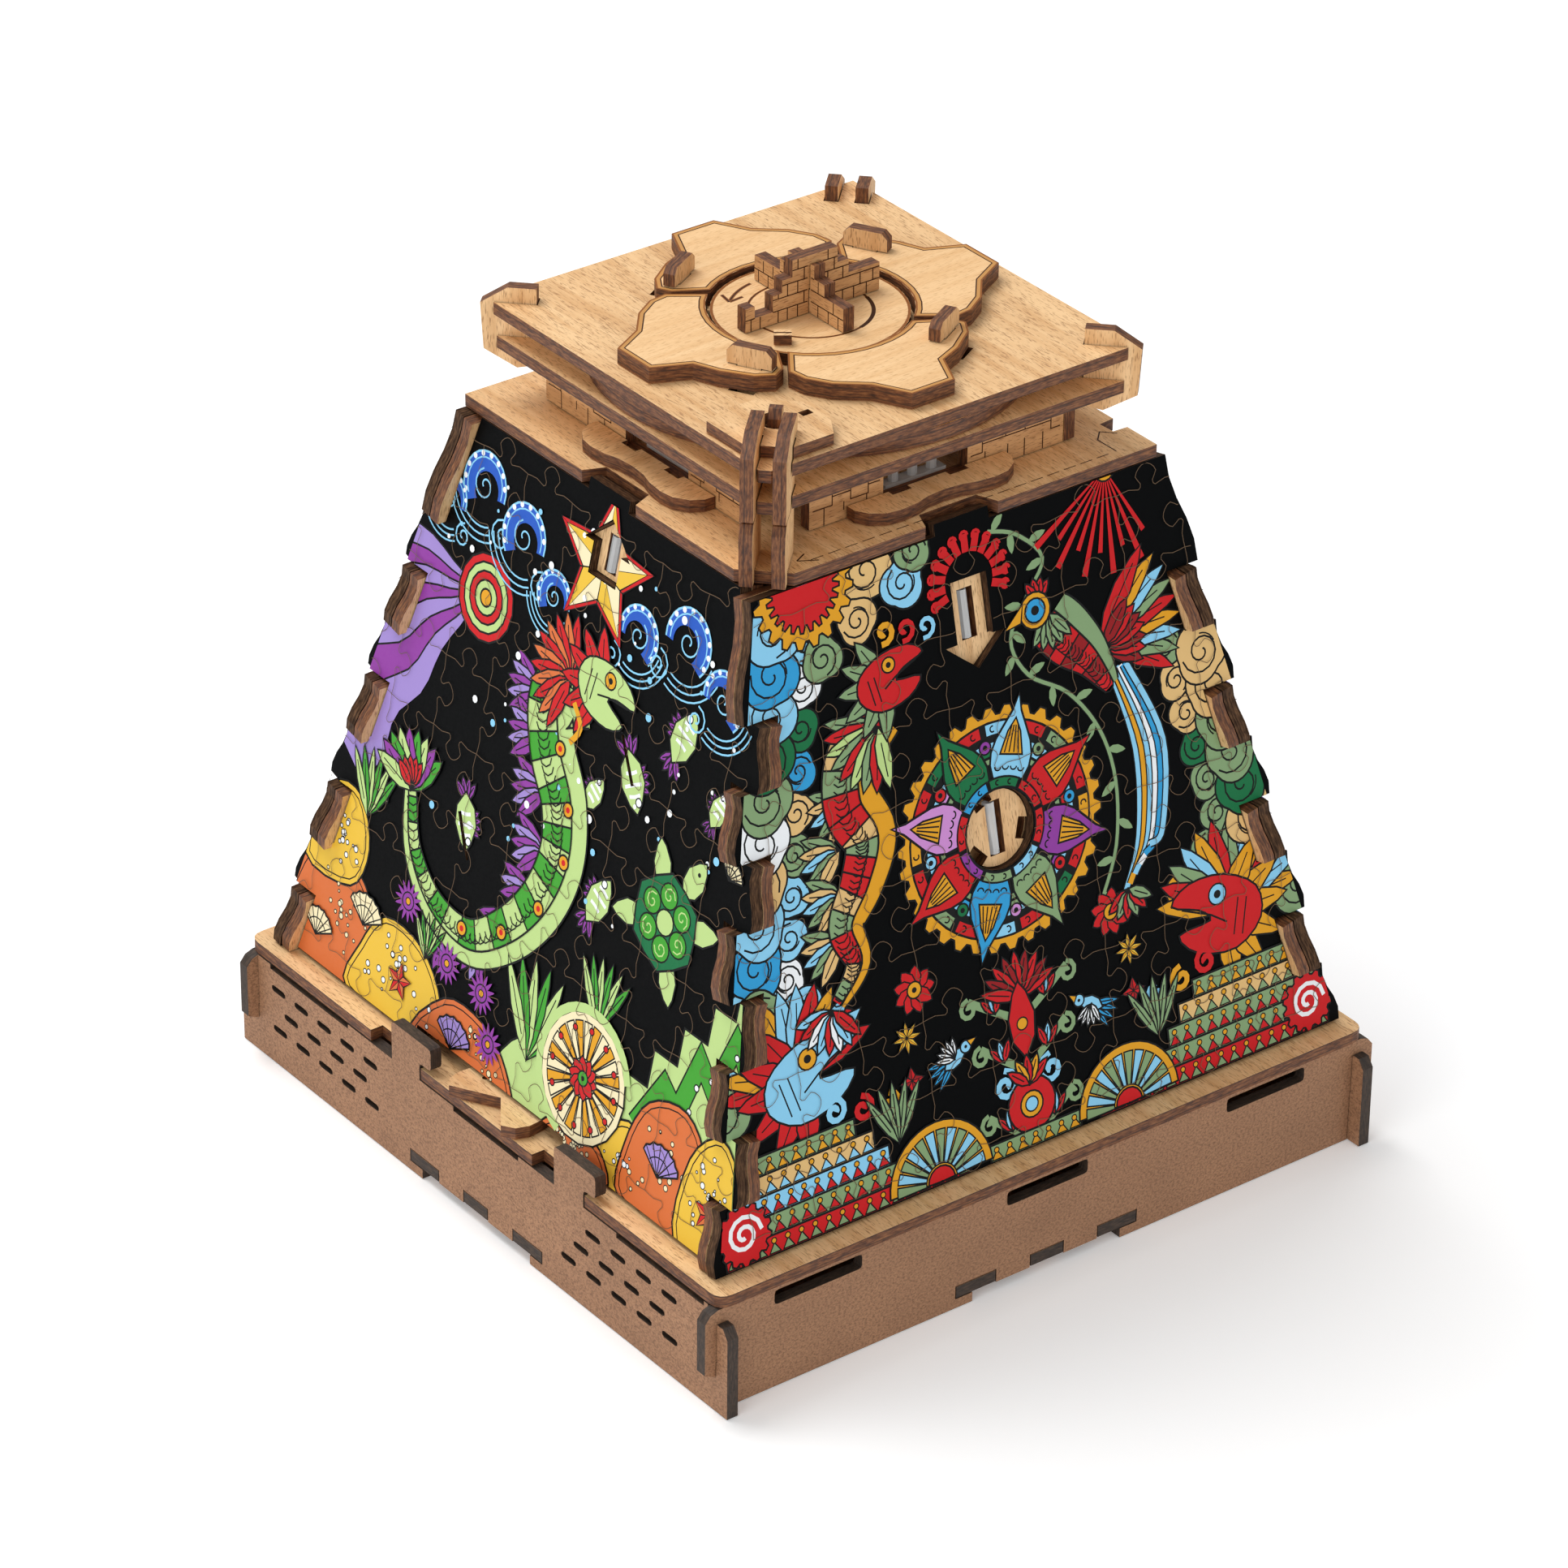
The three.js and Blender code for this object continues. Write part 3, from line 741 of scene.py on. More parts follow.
@dataclass
class Canvas:
    """A flat surface that print or burn marks lie on, drawn in millimetres.

    Args:
        name: name of the object that holds the marks.
        body: CAD body that carries it.
        place: matrix from canvas metres to the row frame, with the third axis outward.
        slot: material slot in the record; not used.
        window: convex outline that marks stay inside, or None.
        holes: convex outlines that marks keep clear of.
        mirror: whether the first coordinate is reversed.
        swaps: inks printed in place of others.
    """

    name: str
    body: str
    place: Matrix
    slot: str
    window: Polygon | None = None
    holes: list[Polygon] = field(default_factory=list)
    mirror: bool = False
    swaps: dict[Ink, Ink] = field(default_factory=dict)

    def __post_init__(self) -> None:
        """Starts with nothing drawn."""
        self.level = PRINTED
        self.corners: list[Direction] = []
        self.faces: list[list[int]] = []
        self.indices: list[int] = []
        self.inks: list[Ink] = []

    def start(self, level: float) -> None:
        """Begins a motif at a height above the surface.

        Args:
            level: height in millimetres.
        """
        self.level = level

    def _keep(self, points: Polygon, ink: Ink) -> None:
        """Clips one polygon and stores what is left at the current level.

        Args:
            points: the polygon.
            ink: its ink.
        """
        if self.mirror:
            points = [(-u, v) for u, v in points]
        ink = self.swaps.get(ink, ink)
        for a, b, c in half_planes(self.window) if self.window else []:
            points = clip(points, a, b, c)
            if not points:
                return
        pieces = [points]
        for hole in self.holes:
            if near(points, hole):
                pieces = [part for piece in pieces for part in punch(piece, hole)]
        if ink not in self.inks:
            self.inks.append(ink)
        for piece in pieces:
            area = twice_area(piece)
            if abs(area) < SMALLEST:
                continue
            ordered = piece if area > 0 else piece[::-1]
            first = len(self.corners)
            self.corners += [(u * MM, v * MM, self.level * MM) for u, v in ordered]
            self.faces.append(list(range(first, first + len(ordered))))
            self.indices.append(self.inks.index(ink))

    def fill(self, points: Polygon, ink: Ink, outline: float = 0.0, edge: Ink = Ink.BLACK) -> None:
        """Prints a filled shape, with a line round it if asked.

        Args:
            points: the shape.
            ink: its ink.
            outline: width of the line round it.
            edge: ink of that line.
        """
        self.level += LAYER
        self._keep(list(points), ink)
        if outline:
            self.stroke(points, outline, edge, closed=True)

    def stroke(
        self, points: Polygon, width: float, ink: Ink = Ink.BLACK, closed: bool = False
    ) -> None:
        """Draws a line of even width with mitred bends.

        Args:
            points: points along the line.
            width: line width.
            ink: its ink.
            closed: whether it joins up.
        """
        self.level += LAYER
        kept = [p for i, p in enumerate(points) if i == 0 or math.dist(p, points[i - 1]) > 0.02]
        if len(kept) < 2:
            return
        count = len(kept)
        sides = []
        for i, here in enumerate(kept):
            before = kept[i - 1] if i or closed else here
            after = kept[(i + 1) % count] if i < count - 1 or closed else here
            one = Vector((here[0] - before[0], here[1] - before[1]))
            two = Vector((after[0] - here[0], after[1] - here[1]))
            one = one.normalized() if one.length > 1e-6 else two.normalized()
            two = two.normalized() if two.length > 1e-6 else one
            normal = Vector((-one.y - two.y, one.x + two.x))
            normal = normal.normalized() if normal.length > 1e-3 else Vector((-one.y, one.x))
            reach = width / 2 / max(0.6, normal.dot(Vector((-one.y, one.x))))
            sides.append(
                (
                    (here[0] + normal.x * reach, here[1] + normal.y * reach),
                    (here[0] - normal.x * reach, here[1] - normal.y * reach),
                )
            )
        for i in range(count if closed else count - 1):
            a, b = sides[i], sides[(i + 1) % count]
            self._keep([a[0], a[1], b[1], b[0]], ink)

    def dot(self, at: Point, r: float, ink: Ink, outline: float = 0.0) -> None:
        """Prints a round dot.

        Args:
            at: centre.
            r: radius.
            ink: its ink.
            outline: width of a black line round it.
        """
        self.fill(ring(at, r, 8 if r < 1 else 16), ink, outline)

    def build(self) -> bpy.types.Object:
        """Makes the object that holds every mark.

        Returns:
            The object, riding on its body.
        """
        mesh = bpy.data.meshes.new(self.name)
        mesh.from_pydata(self.corners, [], self.faces)
        for ink in self.inks:
            mesh.materials.append(ink_material(ink))
        mesh.polygons.foreach_set("material_index", self.indices)
        mesh.transform(self.place)
        mesh.update()
        piece = bpy.data.objects.new(self.name, mesh)
        bpy.context.scene.collection.objects.link(piece)
        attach(piece, self.body)
        log.info("%s: %d marks in %d inks", self.name, len(self.faces), len(self.inks))
        return piece


# ---- Motifs -------------------------------------------------------------------------------


def leaf(at: Point, angle: float, length: float, width: float) -> Polygon:
    """Outline of a pointed leaf or feather.

    Args:
        at: root.
        angle: direction it points, in degrees.
        length: root to tip.
        width: widest part.

    Returns:
        The outline.
    """
    shares = [(0, 0), (0.25, 0.42), (0.55, 0.5), (0.85, 0.26), (1, 0)]
    sides = shares + [(s, -w) for s, w in shares[-2:0:-1]]
    c, s = math.cos(math.radians(angle)), math.sin(math.radians(angle))
    u, v = at
    return [
        (u + along * length * c - across * width * s, v + along * length * s + across * width * c)
        for along, across in sides
    ]


def spiral(at: Point, r: float, start: float, turns: float, steps: int = 22) -> Polygon:
    """Points on a spiral that winds inward.

    Args:
        at: centre.
        r: outer radius.
        start: angle where it starts, in degrees.
        turns: number of turns, negative for clockwise.
        steps: segments.

    Returns:
        The points.
    """
    return [
        polar(at, r * (1 - 0.86 * i / steps), start + 360 * turns * i / steps)
        for i in range(steps + 1)
    ]


def feather_fan(
    canvas: Canvas, at: Point, angles: Point, count: int, size: Point, inks: Inks
) -> None:
    """Prints a fan of feathers with midribs.

    Args:
        canvas: where to print.
        at: root.
        angles: first and last direction in degrees.
        count: number of feathers.
        size: length and width.
        inks: inks used in turn.
    """
    for i in range(count):
        angle = angles[0] + (angles[1] - angles[0]) * i / max(1, count - 1)
        canvas.fill(leaf(at, angle, *size), inks[i % len(inks)], 0.5)
        canvas.stroke([polar(at, size[0] * s, angle) for s in (0.25, 0.8)], 0.35)


def cloud(canvas: Canvas, at: Point, r: float, ink: Ink, turn: float = 0.0) -> None:
    """Prints a scalloped cloud with a spiral inside.

    Args:
        canvas: where to print.
        at: centre.
        r: radius.
        ink: its ink.
        turn: angle the spiral starts at, in degrees.
    """
    outline = [
        polar(at, r * (0.86 + 0.16 * abs(math.sin(math.radians(1.5 * (i * 12 - turn))))), i * 12)
        for i in range(30)
    ]
    canvas.fill(outline, ink, 0.55)
    canvas.stroke(spiral(at, r * 0.72, turn, 1.6), 0.5)
    canvas.stroke(arc(at, r * 0.55, turn + 190, turn + 260, 5), 0.4)


def gear(canvas: Canvas, at: Point, r: float, teeth: int, ink: Ink, depth: float) -> None:
    """Prints a toothed disc.

    Args:
        canvas: where to print.
        at: centre.
        r: radius over the teeth.
        teeth: number of teeth.
        ink: its ink.
        depth: height of the teeth.
    """
    outline = []
    for i in range(teeth):
        step = 360 / teeth
        for share, radius in ((0.0, r - depth), (0.22, r), (0.55, r), (0.77, r - depth)):
            outline.append(polar(at, radius, (i + share) * step))
    canvas.fill(outline, ink, 0.5)


def sector(
    at: Point, radii: Point, angles: Point, steps: int = 6
) -> Polygon:
    """Outline of a slice of a ring.

    Args:
        at: centre.
        radii: inner and outer radius.
        angles: first and last angle in degrees.
        steps: segments in each arc.

    Returns:
        The outline.
    """
    outer = arc(at, radii[1], angles[0], angles[1], steps)
    return outer + arc(at, radii[0], angles[1], angles[0], steps)


def sunburst(canvas: Canvas, at: Point, angles: Point, count: int, r: float) -> None:
    """Prints tapering rays with a small sun at their root.

    Args:
        canvas: where to print.
        at: root.
        angles: first and last direction in degrees.
        count: number of rays.
        r: length of the longest ray.
    """
    for i in range(count):
        angle = angles[0] + (angles[1] - angles[0]) * i / (count - 1)
        length = r * (1.0 if i % 2 == 0 else 0.78)
        tip = [polar(at, length, angle + side) for side in (-1.9, 1.9)]
        canvas.fill([polar(at, 2.5, angle - 4), *tip, polar(at, 2.5, angle + 4)], Ink.RED)
    canvas.dot(at, 3.0, Ink.GOLD, 0.5)


def flower(canvas: Canvas, at: Point, r: float, petals: int, inks: Inks) -> None:
    """Prints a round flower.

    Args:
        canvas: where to print.
        at: centre.
        r: radius.
        petals: number of petals.
        inks: petal ink and centre ink.
    """
    for i in range(petals):
        canvas.fill(leaf(at, 360 * i / petals, r, r * 0.62), inks[0], 0.4)
    canvas.dot(at, r * 0.34, inks[1], 0.45)
    canvas.dot(at, r * 0.12, Ink.BLACK)


def star(canvas: Canvas, at: Point, r: float, points: int, inks: Inks) -> None:
    """Prints a faceted star whose halves of each point have different inks.

    Args:
        canvas: where to print.
        at: centre.
        r: distance to the points.
        points: number of points.
        inks: the two facet inks.
    """
    step = 360 / points
    for i in range(points):
        angle = 90 + i * step
        tip = polar(at, r, angle)
        for side, ink in zip((-0.5, 0.5), inks):
            canvas.fill([at, tip, polar(at, r * 0.46, angle + side * step)], ink, 0.4)


def serpent(
    canvas: Canvas, spine: Polygon, width: float, inks: Inks, belly: Ink, scale_step: float = 3.0
) -> None:
    """Prints a banded body along a curve, with a belly line and scale marks.

    Args:
        canvas: where to print.
        spine: points from neck to tail.
        width: widest part of the body.
        inks: band inks used in turn.
        belly: ink of the strip along one side.
        scale_step: distance between scale marks.
    """
    curve = smooth(spine, steps=7)
    count = len(curve)
    sides: list[tuple[Point, Point, Point]] = []
    for i, here in enumerate(curve):
        ahead, behind = curve[min(i + 1, count - 1)], curve[max(i - 1, 0)]
        along = Vector((ahead[0] - behind[0], ahead[1] - behind[1])).normalized()
        half = width / 2 * (0.55 + 0.45 * math.sin(math.pi * min(1.0, 0.25 + 0.75 * (i / count))))
        half *= 1 - 0.55 * (i / count) ** 2
        sides.append(
            (
                (here[0] - along.y * half, here[1] + along.x * half),
                (here[0] - along.y * half * 0.3, here[1] + along.x * half * 0.3),
                (here[0] + along.y * half, here[1] - along.x * half),
            )
        )
    for i in range(count - 1):
        a, b = sides[i], sides[i + 1]
        canvas.fill([a[0], a[1], b[1], b[0]], belly)
        canvas.fill([a[1], a[2], b[2], b[1]], inks[(i // 3) % len(inks)])
    for i in range(0, count - 1, 3):
        canvas.stroke([sides[i][1], sides[i][2]], 0.5)
    every = max(1, round(scale_step / 1.5))
    for i in range(1, count - 1, every):
        mid = [(sides[i][1][k] + sides[i][2][k]) / 2 for k in (0, 1)]
        canvas.stroke(arc(mid, width * 0.12, 200, 380, 4), 0.35)
    for k in (0, 1, 2):
        canvas.stroke([side[k] for side in sides], 0.55)


def beast_head(canvas: Canvas, at: Point, size: float, turn: float, inks: Inks) -> None:
    """Prints a plain rounded reptile head with an open jaw, a crest and an eye.

    Args:
        canvas: where to print.
        at: centre.
        size: half the head's length.
        turn: direction the snout points, in degrees.
        inks: head, crest and eye inks.
    """
    feather_fan(canvas, at, (turn + 110, turn + 250), 6, (size * 1.5, size * 0.5), inks[1:2])
    c, s = math.cos(math.radians(turn)), math.sin(math.radians(turn))

    def put(x: float, y: float) -> Point:
        """Places a point of the head.

        Args:
            x: distance along the snout, in head sizes.
            y: distance across it.

        Returns:
            The point on the canvas.
        """
        y = -y if c < 0 else y
        return (at[0] + size * (x * c - y * s), at[1] + size * (x * s + y * c))

    skull = [put(-0.7, 0.5), put(0.1, 0.75), put(0.9, 0.6), put(1.25, 0.2), put(0.6, 0.1)]
    jaw = [put(0.3, -0.1), put(1.0, -0.35), put(0.5, -0.7), put(-0.4, -0.65), put(-0.9, -0.1)]
    canvas.fill(smooth(skull + jaw, closed=True, steps=3), inks[0], 0.55)
    canvas.stroke([put(1.0, 0.12), put(0.3, 0.0), put(-0.1, -0.15)], 0.5)
    eye = put(0.2, 0.38)
    canvas.dot(eye, size * 0.2, inks[2], 0.45)
    canvas.dot(eye, size * 0.08, Ink.BLACK)
    for k in (-0.5, -0.3):
        canvas.stroke([put(k, -0.4), put(k, 0.3)], 0.4)


def bird(canvas: Canvas, at: Point, size: float, turn: float, inks: Inks) -> None:
    """Prints a small bird with a fanned wing and tail.

    Args:
        canvas: where to print.
        at: body centre.
        size: half the body's length.
        turn: direction the head points, in degrees.
        inks: body, wing and tail inks.
    """
    feather_fan(canvas, at, (turn + 150, turn + 200), 4, (size * 2.2, size * 0.5), inks[2:])
    canvas.fill(leaf(polar(at, size, turn + 180), turn, size * 2.1, size * 1.1), inks[0], 0.5)
    feather_fan(canvas, at, (turn + 60, turn + 140), 5, (size * 1.5, size * 0.45), inks[1:2])
    head = polar(at, size * 1.1, turn)
    canvas.dot(head, size * 0.42, inks[0], 0.45)
    beak = [polar(head, size * 0.4, turn + k) for k in (40, -40)]
    canvas.fill([*beak, polar(head, size * 0.95, turn - 8)], Ink.GOLD, 0.4)
    canvas.dot(head, size * 0.12, Ink.BLACK)


def fish(canvas: Canvas, at: Point, size: float, turn: float, inks: Inks) -> None:
    """Prints a striped fish.

    Args:
        canvas: where to print.
        at: centre.
        size: half its length.
        turn: direction it swims, in degrees.
        inks: body, stripe and fin inks.
    """
    feather_fan(canvas, polar(at, size * 0.7, turn + 180), (turn + 140, turn + 220), 4,
                (size * 0.8, size * 0.3), inks[2:])
    feather_fan(canvas, at, (turn + 60, turn + 120), 4, (size * 0.85, size * 0.3), inks[2:])
    body = leaf(polar(at, size, turn + 180), turn, size * 2, size * 1.15)
    canvas.fill(body, inks[0], 0.5)
    for k in (-0.35, 0.0, 0.35):
        root = polar(at, size * k, turn)
        ends = [polar(root, size * 0.42 * (1 - abs(k)), turn + a) for a in (75, -75)]
        canvas.stroke(smooth([ends[0], polar(root, size * 0.1, turn), ends[1]]), 0.9, inks[1])
    eye = polar(at, size * 0.66, turn + 12)
    canvas.dot(eye, size * 0.14, Ink.WHITE, 0.35)


def wave_crest(canvas: Canvas, at: Point, r: float, hand: int) -> None:
    """Prints a curling wave crest with pale contour lines and foam.

    Args:
        canvas: where to print.
        at: centre.
        r: radius.
        hand: one to curl clockwise, minus one the other way.
    """
    start = 90 - hand * 100
    outer = arc(at, r, start, start + hand * 235, 16)
    inner = arc((at[0] + hand * r * 0.12, at[1] - r * 0.1), r * 0.55, start + hand * 235, start, 16)
    canvas.fill(outer + inner, Ink.ROYAL)
    canvas.stroke(outer, 0.55, Ink.SKY)
    canvas.stroke(arc(at, r * 0.82, start, start + hand * 225, 14), 0.4, Ink.SKY)
    for k in range(9):
        canvas.dot(polar(at, r * 0.93, start + hand * (25 + 24 * k)), r * 0.09, Ink.WHITE)
    canvas.stroke(spiral(at, r * 0.5, start + hand * 120, hand * 1.3), 0.45, Ink.SKY)


def lappet_ring(canvas: Canvas, at: Point, radii: Point, inks: Inks, turn: float) -> None:
    """Prints a ring of segments, each marked with two small arches.

    Args:
        canvas: where to print.
        at: centre.
        radii: inner and outer radius.
        inks: one ink for each segment.
        turn: angle of the first segment, in degrees.
    """
    step = 360 / len(inks)
    for i, ink in enumerate(inks):
        start = turn + i * step
        canvas.fill(sector(at, radii, (start + 1.6, start + step - 1.6)), ink, 0.5)
        for share in (0.3, 0.7):
            mid = polar(at, (radii[0] + radii[1]) / 2, start + step * share)
            canvas.stroke(arc(mid, (radii[1] - radii[0]) * 0.24, start, start + 230, 6), 0.4)


def mandala(canvas: Canvas, at: Point) -> None:
    """Prints the toothed sun disc that surrounds the wheel.

    Args:
        canvas: where to print.
        at: centre.
    """
    gear(canvas, at, 30.6, 34, Ink.GOLD, 2.0)
    canvas.fill(ring(at, 27.2, 40), Ink.BLACK)
    rim = [Ink.RED, Ink.SAGE, Ink.RED, Ink.SKY, Ink.RED, Ink.FOREST, Ink.RED, Ink.GOLD] * 2
    lappet_ring(canvas, at, (23.6, 26.8), tuple(rim), 4)
    lobes = [Ink.SKY, Ink.RED, Ink.PURPLE, Ink.SAGE, Ink.BLUE, Ink.RED, Ink.ORCHID, Ink.FOREST]
    for i in range(8):
        turn = 49.5 - i * 45
        for k, ink in enumerate((Ink.SAGE, Ink.RED, Ink.SKY)):
            band = arc(at, 17.5 + 1.9 * k, turn - 13 + 3 * k, turn + 13 - 3 * k, 5)
            canvas.stroke(band, 1.2, (lobes[i], ink)[k != 1])
        canvas.dot(polar(at, 21.3, turn), 1.7, lobes[(i + 3) % 8], 0.45)
        canvas.dot(polar(at, 21.3, turn), 0.7, Ink.BLACK)
    for i, ink in enumerate(lobes):
        angle = 72 - i * 45
        half = [(13.0, 20), (16.5, 21), (19.5, 18.5), (22.5, 13.5), (26.0, 6.8), (29.0, 2.6)]
        outline = [polar(at, r, angle - a) for r, a in half] + [polar(at, 33.0, angle)]
        outline += [polar(at, r, angle + a) for r, a in half[::-1]]
        canvas.fill(outline, ink, 0.6)
        core = [polar(at, r, angle + a) for r, a in
                ((18.6, -10.5), (24.0, -4.6), (27.2, 0), (24.0, 4.6), (18.6, 10.5))]
        canvas.fill(core, Ink.GOLD, 0.5)
        for side in (-6.5, -2.2, 2.2, 6.5):
            canvas.stroke([polar(at, 18.8, angle + side), polar(at, 25.4, angle + side / 3)], 0.4)
        for side in (-13, -4.5, 4.5, 13):
            mark = polar(at, 15.6, angle + side)
            canvas.stroke(arc(mark, 0.95, angle + 95, angle + 265, 6), 0.4)
    inner = (Ink.RED, Ink.FOREST, Ink.BLUE, Ink.RED, Ink.PURPLE, Ink.SAGE, Ink.SKY, Ink.RED)
    lappet_ring(canvas, at, (10.5, 13.0), inner, 10)


def spoked_wheel(
    canvas: Canvas, at: Point, r: float, angles: Point, inks: Inks
) -> None:
    """Prints a wheel or half wheel of alternating spokes with a hub and rim.

    Args:
        canvas: where to print.
        at: centre.
        r: radius.
        angles: first and last angle in degrees.
        inks: two spoke inks, a hub ink and a rim ink.
    """
    canvas.fill(sector(at, (0.1, r), angles, 18), inks[3], 0.5)
    count = round((angles[1] - angles[0]) / 15)
    for i in range(count):
        start = angles[0] + 15 * i
        spoke = sector(at, (r * 0.3, r * 0.86), (start + 1, start + 13), 2)
        canvas.fill(spoke, inks[i % 2], 0.4)
    canvas.fill(sector(at, (0.1, r * 0.26), angles, 8), inks[2], 0.5)


def vine(canvas: Canvas, points: Polygon, ink: Ink, thorn: float) -> None:
    """Prints a thorny vine.

    Args:
        canvas: where to print.
        points: points along it.
        ink: its ink.
        thorn: length of the thorns.
    """
    curve = smooth(points, steps=5)
    canvas.stroke(curve, 1.5, Ink.BLACK)
    for i in range(1, len(curve) - 1, 3):
        side = 60 if i % 2 else -60
        heading = math.degrees(
            math.atan2(curve[i + 1][1] - curve[i][1], curve[i + 1][0] - curve[i][0])
        )
        canvas.fill(leaf(curve[i], heading + side, thorn, thorn * 0.4), ink)
    canvas.stroke(curve, 0.95, ink)


def reef(canvas: Canvas, heap: Polygon, ink: Ink, dots: Ink, seed: int) -> None:
    """Prints a wavy mound with contour lines and dots.

    Args:
        canvas: where to print.
        heap: outline points.
        ink: its ink.
        dots: ink of the dots.
        seed: number that scatters the dots.
    """
    outline = smooth(heap, closed=True, steps=4)
    canvas.fill(outline, ink, 0.6)
    shrunk = inset(outline if twice_area(outline) > 0 else outline[::-1], 1.6)
    canvas.stroke(shrunk, 0.35, closed=True)
    pick = random.Random(seed)
    us, vs = [p[0] for p in shrunk], [p[1] for p in shrunk]
    middle = (sum(us) / len(us), sum(vs) / len(vs))
    for _ in range(26):
        rim = pick.choice(shrunk)
        share = pick.uniform(0.0, 0.82)
        spot = (middle[0] + (rim[0] - middle[0]) * share, middle[1] + (rim[1] - middle[1]) * share)
        canvas.dot(spot, pick.uniform(0.35, 0.9), dots, 0.25)


def turtle(canvas: Canvas, at: Point, size: float, turn: float) -> None:
    """Prints a turtle seen from above.

    Args:
        canvas: where to print.
        at: centre.
        size: shell radius.
        turn: direction the head points, in degrees.
    """
    for k in (48, 132, 228, 312):
        canvas.fill(leaf(polar(at, size * 0.6, turn + k), turn + k, size * 1.1, size * 0.55),
                    Ink.LIME, 0.5)
    canvas.fill(leaf(polar(at, size * 0.8, turn), turn, size * 1.1, size * 0.62), Ink.LIME, 0.5)
    canvas.dot(polar(at, size * 1.55, turn), 0.6, Ink.BLACK)
    canvas.fill([polar(at, size * (1.05 if k % 2 else 0.95), turn + 30 * k) for k in range(12)],
                Ink.FOREST, 0.6)
    for k in range(6):
        spot = polar(at, size * 0.56, turn + 60 * k + 30)
        canvas.dot(spot, size * 0.27, Ink.GREEN, 0.45)
        canvas.stroke(spiral(spot, size * 0.2, 60 * k, 1.2, 10), 0.35, Ink.LIME)
    canvas.dot(at, size * 0.27, Ink.LIME, 0.45)


def shell(canvas: Canvas, at: Point, size: float, turn: float, ink: Ink) -> None:
    """Prints a ribbed scallop shell.

    Args:
        canvas: where to print.
        at: hinge.
        size: hinge to rim.
        turn: direction it opens, in degrees.
        ink: its ink.
    """
    rim = [polar(at, size * (1 + 0.06 * (i % 2)), turn - 60 + 10 * i) for i in range(13)]
    canvas.fill([at, *rim], ink, 0.5)
    for i in range(1, 12, 2):
        canvas.stroke([at, rim[i]], 0.35)
    canvas.stroke(arc(at, size * 0.62, turn - 55, turn + 55, 8), 0.35)


def urchin(canvas: Canvas, at: Point, size: float, ink: Ink) -> None:
    """Prints a spiny ball.

    Args:
        canvas: where to print.
        at: centre.
        size: length of the spines.
        ink: its ink.
    """
    for k in range(14):
        canvas.fill(leaf(at, 360 / 14 * k, size, size * 0.22), ink)
    canvas.dot(at, size * 0.42, ink, 0.4)
    canvas.dot(at, size * 0.18, Ink.GOLD, 0.3)


def jigsaw(canvas: Canvas, rows: list[float], half: float, pitch: float, seed: int) -> None:
    """Cuts a jigsaw pattern with knobs into a panel.

    Args:
        canvas: where to draw the cuts.
        rows: heights of the horizontal cuts.
        half: half the panel's width at its foot.
        pitch: distance between the vertical cuts.
        seed: number that sets which way the knobs point.
    """
    pick = random.Random(seed)

    def knobbed(p: Point, q: Point) -> Polygon:
        """A cut between two points with one knob in the middle.

        Args:
            p: first point.
            q: last point.

        Returns:
            Points along the cut.
        """
        way = pick.choice((-1, 1))
        shape = [(0, 0), (0.2, 0.02), (0.36, -0.02), (0.4, 0.05), (0.33, 0.16), (0.4, 0.26),
                 (0.5, 0.3), (0.6, 0.26), (0.67, 0.16), (0.6, 0.05), (0.64, -0.02), (0.8, 0.02),
                 (1, 0)]
        du, dv = q[0] - p[0], q[1] - p[1]
        return smooth([(p[0] + du * x - dv * y * way, p[1] + dv * x + du * y * way)
                       for x, y in shape], steps=2)

    columns = [-half + pitch * 0.5 + pitch * k for k in range(int(2 * half / pitch) + 1)]
    # The cut lines are drawn in the kerf's grey-brown, partly charred wood and partly a painted
    # highlight.
    for row in rows:
        for left, right in zip(columns, columns[1:]):
            canvas.stroke(knobbed((left, row), (right, row)), 0.17, Ink.CUT)
    for low, high in zip(rows, rows[1:]):
        for u in columns:
            canvas.stroke(knobbed((u, low), (u, high)), 0.17, Ink.CUT)


# ---- Printed faces ------------------------------------------------------------------------


